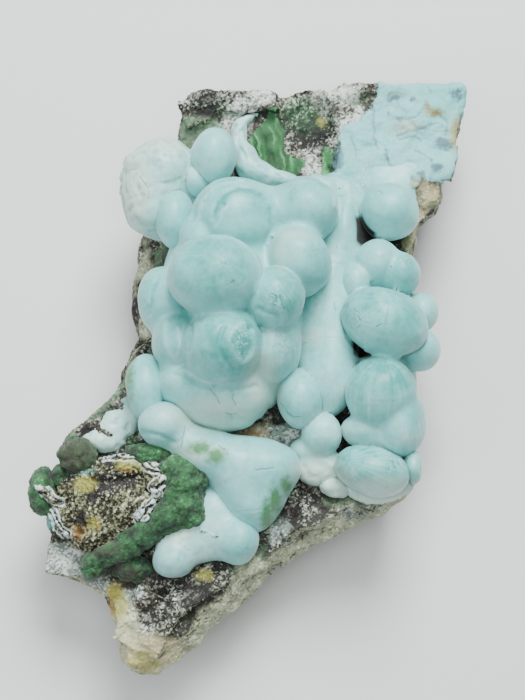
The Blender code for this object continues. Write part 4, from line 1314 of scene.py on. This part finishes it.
def botryoidal_chrysocolla(context):
    """Waxy, porcelain-like chrysocolla: pale blue skins that deepen to teal on the crowns.

    A little light goes through the skin, and it shines softly, duller where it is mottled.
    """
    if "botryoidal_chrysocolla" in bpy.data.materials:
        return bpy.data.materials["botryoidal_chrysocolla"]
    colours = context.scene.specimen_colours
    material, tree, where = new_material("botryoidal_chrysocolla")
    flow = add(tree, "ShaderNodeAttribute", attribute_name="flow").outputs["Vector"]
    down, across = (
        add(tree, "ShaderNodeMapping", {"Vector": flow, "Scale": scale}).outputs["Vector"]
        for scale in ((7.0, 7.0, 1.2), (0.7, 0.7, 8.0))
    )
    lines = weighed(tree, (0.25, waves(tree, across, 1.0, 2.0)), (0.5, waves(tree, down, 1.0)))
    value = weighed(
        tree, (1.0, "teal"), (lines, "streak"), (0.45, waves(tree, where, 0.16, 4.0)),
        (0.3, waves(tree, where, 0.7, 5.0, 0.65)), (-0.2, "valley"), (0.3, "mark_teal"), (-0.3, "mark_ridge"),
        (0.15, "mark_fold"),
    )
    body = add(tree, "ShaderNodeValToRGB", {"Fac": value}, stops=(
        (0.0, colours.seam), (0.3, colours.pale), (0.68, colours.teal), (1.0, colours.deep),
    )).outputs["Color"]
    mottle = waves(tree, where, 0.9, 4.0)
    body = stain_coats(tree, body, mottle, 0.8, (
        ("teal", colours.deep, -1.2, 2.0, 0.5),
        ("cream", colours.cream, -1.6, 0.8, 0.5),
        ("green", colours.stain, -0.9, 0.4, 0.95),
        ("speck", colours.speck, -0.3, 0.5, 0.7),
    ))
    body = coat(tree, body, colours.speck, waves(tree, where, 0.45, 5.0, 0.7), 0.05, 0.55, 0.22)
    dots = cells(tree, where, FLECK_WIDTH)
    flecked = mask(tree, "stain_fleck", -0.8, 1.0)
    for shade, low, high in ((colours.speck, 0.25, 0.05), (colours.seam, 0.7, 0.85)):
        body = coat(tree, body, shade, dots, low, high, 0.45, flecked)
    body = coat(tree, body, colours.speck, "mark_crack", strength=0.55)
    # Painted shade down the narrow gaps between lumps
    body = coat(tree, body, colours.gap, "gap", 0.35, 1.0, 0.75)
    # Painted shade: black in the open gaps between lumps, low down
    body = coat(tree, body, colours.rock_black, "stain_gap_shade", -0.3, 0.5)
    rough = weighed(tree, (1.0, "rough"))
    body = coat(tree, body, colours.cream, mask(tree, mottle, -0.6, 0.4, 0.18, 0.6, rough))
    # Painted shade down the deeper eroded pits
    body = coat(tree, body, colours.gap, "pits", 0.0, -0.35, 0.6, rough)
    surface(tree, {
        "Base Color": body, "Roughness": mask(tree, mottle, -1.0, 1.0, 0.34, 0.54), "IOR": 1.5,
        "Subsurface Weight": 0.12, "Subsurface Radius": (0.8, 1.0, 1.0), "Subsurface Scale": 1.2 * MM,
        "Sheen Weight": 0.25, "Sheen Roughness": 0.3,
    }, waves(tree, where, 2.6), 0.25, 0.06)
    return material


def velvet_malachite(context):
    """Malachite as tufts of fine fibres, with painted shade in its hollows and a painted soft light on the
    tips.

    The real fibres are too fine to show, so the tufts are drawn coarser.
    """
    colours = context.scene.specimen_colours
    material, tree, where = new_material("velvet_malachite")
    grain = waves(tree, where, 2.4, 4.0, 0.7)
    # Painted shade darkens the hollows between knobs and the gaps between lobes, and a painted highlight
    # lightens the knobs' tips
    value = weighed(
        tree, (1.0, mask(tree, waves(tree, where, 0.25), -0.6, 0.6, 0.1, 0.6)), (1.1, "relief"), (0.7, grain),
        (-0.45, "gap"), (0.18, mask(tree, "stain_light", -1.5, 1.5)),
    )
    body = malachite_ramp(tree, value, colours)
    body = stain_coats(tree, body, grain, 2.0, (("moss", colours.rock_brown, -0.5, 2.0, 0.6),))
    sheen = {"Sheen Weight": 0.15, "Sheen Roughness": 0.5}
    surface(tree, {"Base Color": body, "Roughness": 0.8, **sheen}, grain, 0.5, 0.25)
    return material


def crumbled_core(context):
    """Broken inner layers: dull white and cream crumbs over black pits, stained yellow and brown."""
    colours = context.scene.specimen_colours
    material, tree, where = new_material("crumbled_core")
    grain = waves(tree, where, 2.0, 4.0, 0.75)
    value = weighed(
        tree, (1.0, 0.03), (0.5, "relief"), (0.6, grain), (0.35, waves(tree, where, 0.3, 2.0)),
        (0.45, cells(tree, where, GRAIN_CELL)),
    )
    black = colours.rock_black
    body = rock_grains(tree, value, black, colours.olive, colours.side_cream, colours.rock_white)
    crisp = rock_grains(tree, value, black, black, colours.side_cream, colours.frill)
    body = coat(tree, body, crisp, "stain_dark", -0.4, 0.2)
    body = stain_coats(tree, body, waves(tree, where, 0.8), 0.9, (
        ("yellow", colours.yellow, -0.5, 0.7, 0.65),
        ("rust", colours.rust, -0.5, 0.7, 0.6),
        ("teal", colours.teal, -0.5, 0.7, 0.5),
        ("pit", black, -0.5, 0.7, 0.9),
    ))
    body = coat(tree, body, colours.frill, weighed(tree, (1.0, "frill"), (0.35, grain)), 0.3, 0.7, 0.85)
    surface(tree, {"Base Color": body, "Roughness": 0.7})
    return material


def matrix_rock(context):
    """Broken matrix rock: black, brown and white grains, with a thin pale crust and stains on its face.

    It hardly shines, and its grains are rough to the light.
    """
    colours = context.scene.specimen_colours
    material, tree, where = new_material("matrix_rock")
    grain = waves(tree, where, 1.8, 5.0, 0.75)
    clouds = waves(tree, where, 0.16, 4.0)
    lots = cells(tree, where, GRAIN_CELL)
    uneven = mask(tree, clouds, -0.5, 0.5, -0.1, 0.12)
    value = weighed(tree, (1.0, uneven), (0.3, "relief"), (0.4, grain), (0.5, lots))
    bright = weighed(tree, (1.0, value), (1.0, 0.25))
    black, brown, grey, white = colours.rock_black, colours.rock_brown, colours.rock_grey, colours.rock_white
    grains = rock_grains(tree, value, black, brown, grey, white)
    side = rock_grains(tree, bright, brown, colours.side_cream, colours.side_cream, colours.side_light)
    crumb = rock_grains(tree, weighed(tree, (1.0, value), (0.3, grain)), black, black, grey, white)
    chalk = rock_grains(tree, bright, brown, grey, colours.chalk, white)
    stone = rock_grains(tree, bright, brown, colours.stone, colours.stone, colours.chalk)
    velvet = coat(tree, malachite_ramp(tree, bright, colours), grey, 0.35)
    fibres = malachite_ramp(tree, weighed(tree, (1.0, 0.52), (0.3, grain), (0.4, "lanes")), colours)
    fleck = mask(tree, weighed(tree, (1.0, grain), (0.8, clouds), (0.5, lots)), -0.35, 0.95)
    skin = add(tree, "ShaderNodeValToRGB", {"Fac": fleck}, stops=(
        (0.0, colours.teal), (0.2, colours.pale), (0.6, colours.crust_skin), (1.0, colours.seam),
    )).outputs["Color"]
    # Hairline cracks in the crust, wider ones between the shards of its tan part, and the traced ones
    hairs = crack_net(tree, where, CRACK_CELL, 0.03, mask(tree, clouds, 0.0, 0.3, 0.0, 0.6))
    shards = crack_net(tree, where, SHARD_CELL, 0.1, mask(tree, "stain_tan", -1.2, 0.6, 0.0, 0.8))
    for other in (shards, weighed(tree, (1.0, "cracks"))):
        hairs = add(tree, "ShaderNodeMath", {0: hairs, 1: other}, operation="MAXIMUM").outputs["Value"]
    skin = coat(tree, skin, colours.slate, mask(tree, grain, -0.4, 0.3, 0.1, 0.9, hairs))
    body = coat(tree, grains, side, clouds, -0.1, 0.25)
    body = coat(tree, body, grains, "face")
    body = stain_coats(tree, body, grain, 1.0, (
        ("band", side, -0.6, 1.2, 0.9),
        ("crumbs", crumb, -0.8, 0.6, 0.95),
        ("stone", stone, -0.3, 0.6, 0.9),
        ("chalk", chalk, -0.4, 0.8, 0.85),
        ("crust", skin, -0.1, 0.15, 1.0),
        ("green", velvet, -0.4, 0.6, 0.85),
        ("moss", malachite_ramp(tree, value, colours), -1.0, 1.6, 0.6),
        ("ice", colours.teal, -1.5, 3.0, 0.7),
        ("slate", colours.slate, -0.2, 0.4, 0.8),
        ("tan", colours.tan, -0.6, 1.4, 0.6),
        ("yellow", colours.yellow, -0.5, 0.7, 0.6),
        ("rust", colours.rust, -0.4, 0.4, 0.75),
        # Dark rock, with painted shade in the gaps between lumps and round the lumps' bases
        ("dark", black, -0.6, 1.0, 0.75),
        ("fibre", fibres, -0.05, 0.15, 1.0),
    ))
    surface(tree, {"Base Color": body, "Roughness": 0.75}, grain, 0.4, 0.25)
    return material


class SetStage(bpy.types.Operator):
    """Lay the pale floor, hang the soft lights and set the camera at the specimen's viewing angle"""

    bl_idname = "specimen.set_stage"
    bl_label = "Floor, lights and camera"

    def execute(self, context):
        bpy.ops.mesh.primitive_plane_add(size=3.0, location=(0.0, 0.0, -0.0002))
        floor = context.active_object
        floor.name = "floor"
        material, tree, where = new_material("studio_paper")
        grain = add(tree, "ShaderNodeTexNoise", {"Vector": where, "Scale": 0.4, "Detail": 4.0}).outputs["Fac"]
        # Dull paper with a faint tooth
        paper = {"Base Color": context.scene.specimen_colours.floor, "Roughness": 0.85}
        surface(tree, paper, grain, 0.1, 0.2)
        floor.data.materials.append(material)
        middle = Vector((0.0, 0.0, FACE_Z * MM))
        for name, place, size, energy in (
            ("key", (0.10, 0.48, 0.60), 0.35, 13.0),
            ("fill", (-0.50, -0.20, 0.50), 0.5, 2.5),
            ("overhead", (0.0, -0.05, 0.9), 0.6, 5.0),
        ):
            bpy.ops.object.light_add(type="AREA", radius=size, location=place)
            lamp = context.active_object
            lamp.name = name
            lamp.data.shape = "SQUARE"
            lamp.data.size = size
            lamp.data.energy = energy
            lamp.rotation_euler = (middle - Vector(place)).to_track_quat("-Z", "Y").to_euler()
        sky = bpy.data.worlds.new("studio")
        context.scene.world = sky
        sky.use_nodes = True
        background = sky.node_tree.nodes["Background"]
        background.inputs["Color"].default_value = linear("#EEF2F4")
        background.inputs["Strength"].default_value = 0.22
        self.camera(context)
        return {"FINISHED"}

    def camera(self, context):
        """A camera above the specimen that shows as much of it as the photograph is high."""
        elevation = math.radians(CAMERA_ELEVATION)
        frame_height = FRAME_PIXELS / PIXELS_PER_MM
        back = Vector((0.0, -math.cos(elevation), math.sin(elevation)))
        bpy.ops.object.camera_add(location=(Vector(CAMERA_TARGET) + back * CAMERA_DISTANCE) * MM)
        camera = context.active_object
        camera.name = "camera"
        camera.rotation_euler = (-back).to_track_quat("-Z", "Y").to_euler()
        camera.data.lens = camera.data.sensor_width * CAMERA_DISTANCE / frame_height
        camera.data.clip_start = 0.01
        context.scene.camera = camera


class SPECIMEN_PT_panel(bpy.types.Panel):
    """Lists the pieces of the specimen with their sizes and colours"""

    bl_label = "Chrysocolla Specimen"
    bl_idname = "SPECIMEN_PT_panel"
    bl_space_type = "VIEW_3D"
    bl_region_type = "UI"
    bl_category = "Specimen"

    def draw(self, context):
        for step in STEPS:
            self.layout.operator(step.bl_idname)
        for group in (context.scene.specimen_sizes, context.scene.specimen_colours):
            box = self.layout.box()
            for name in group.bl_rna.properties.keys():
                if name not in ("rna_type", "name"):
                    box.prop(group, name)


STEPS = (
    BreakPlate, GrowCrown, GrowSlope, GrowBank, GrowUpperLeft, GrowSaddle, GrowFeet, GrowMalachite, BreakCore,
    SetStage,
)
CLASSES = (SpecimenSizes, SpecimenColours, *STEPS, SPECIMEN_PT_panel)


def register():
    for cls in CLASSES:
        bpy.utils.register_class(cls)
    bpy.types.Scene.specimen_sizes = bpy.props.PointerProperty(type=SpecimenSizes)
    bpy.types.Scene.specimen_colours = bpy.props.PointerProperty(type=SpecimenColours)


def unregister():
    del bpy.types.Scene.specimen_colours
    del bpy.types.Scene.specimen_sizes
    for cls in reversed(CLASSES):
        bpy.utils.unregister_class(cls)


def main():
    register()
    for step in STEPS:
        group, name = step.bl_idname.split(".")
        getattr(getattr(bpy.ops, group), name)()


if __name__ == "__main__":
    main()
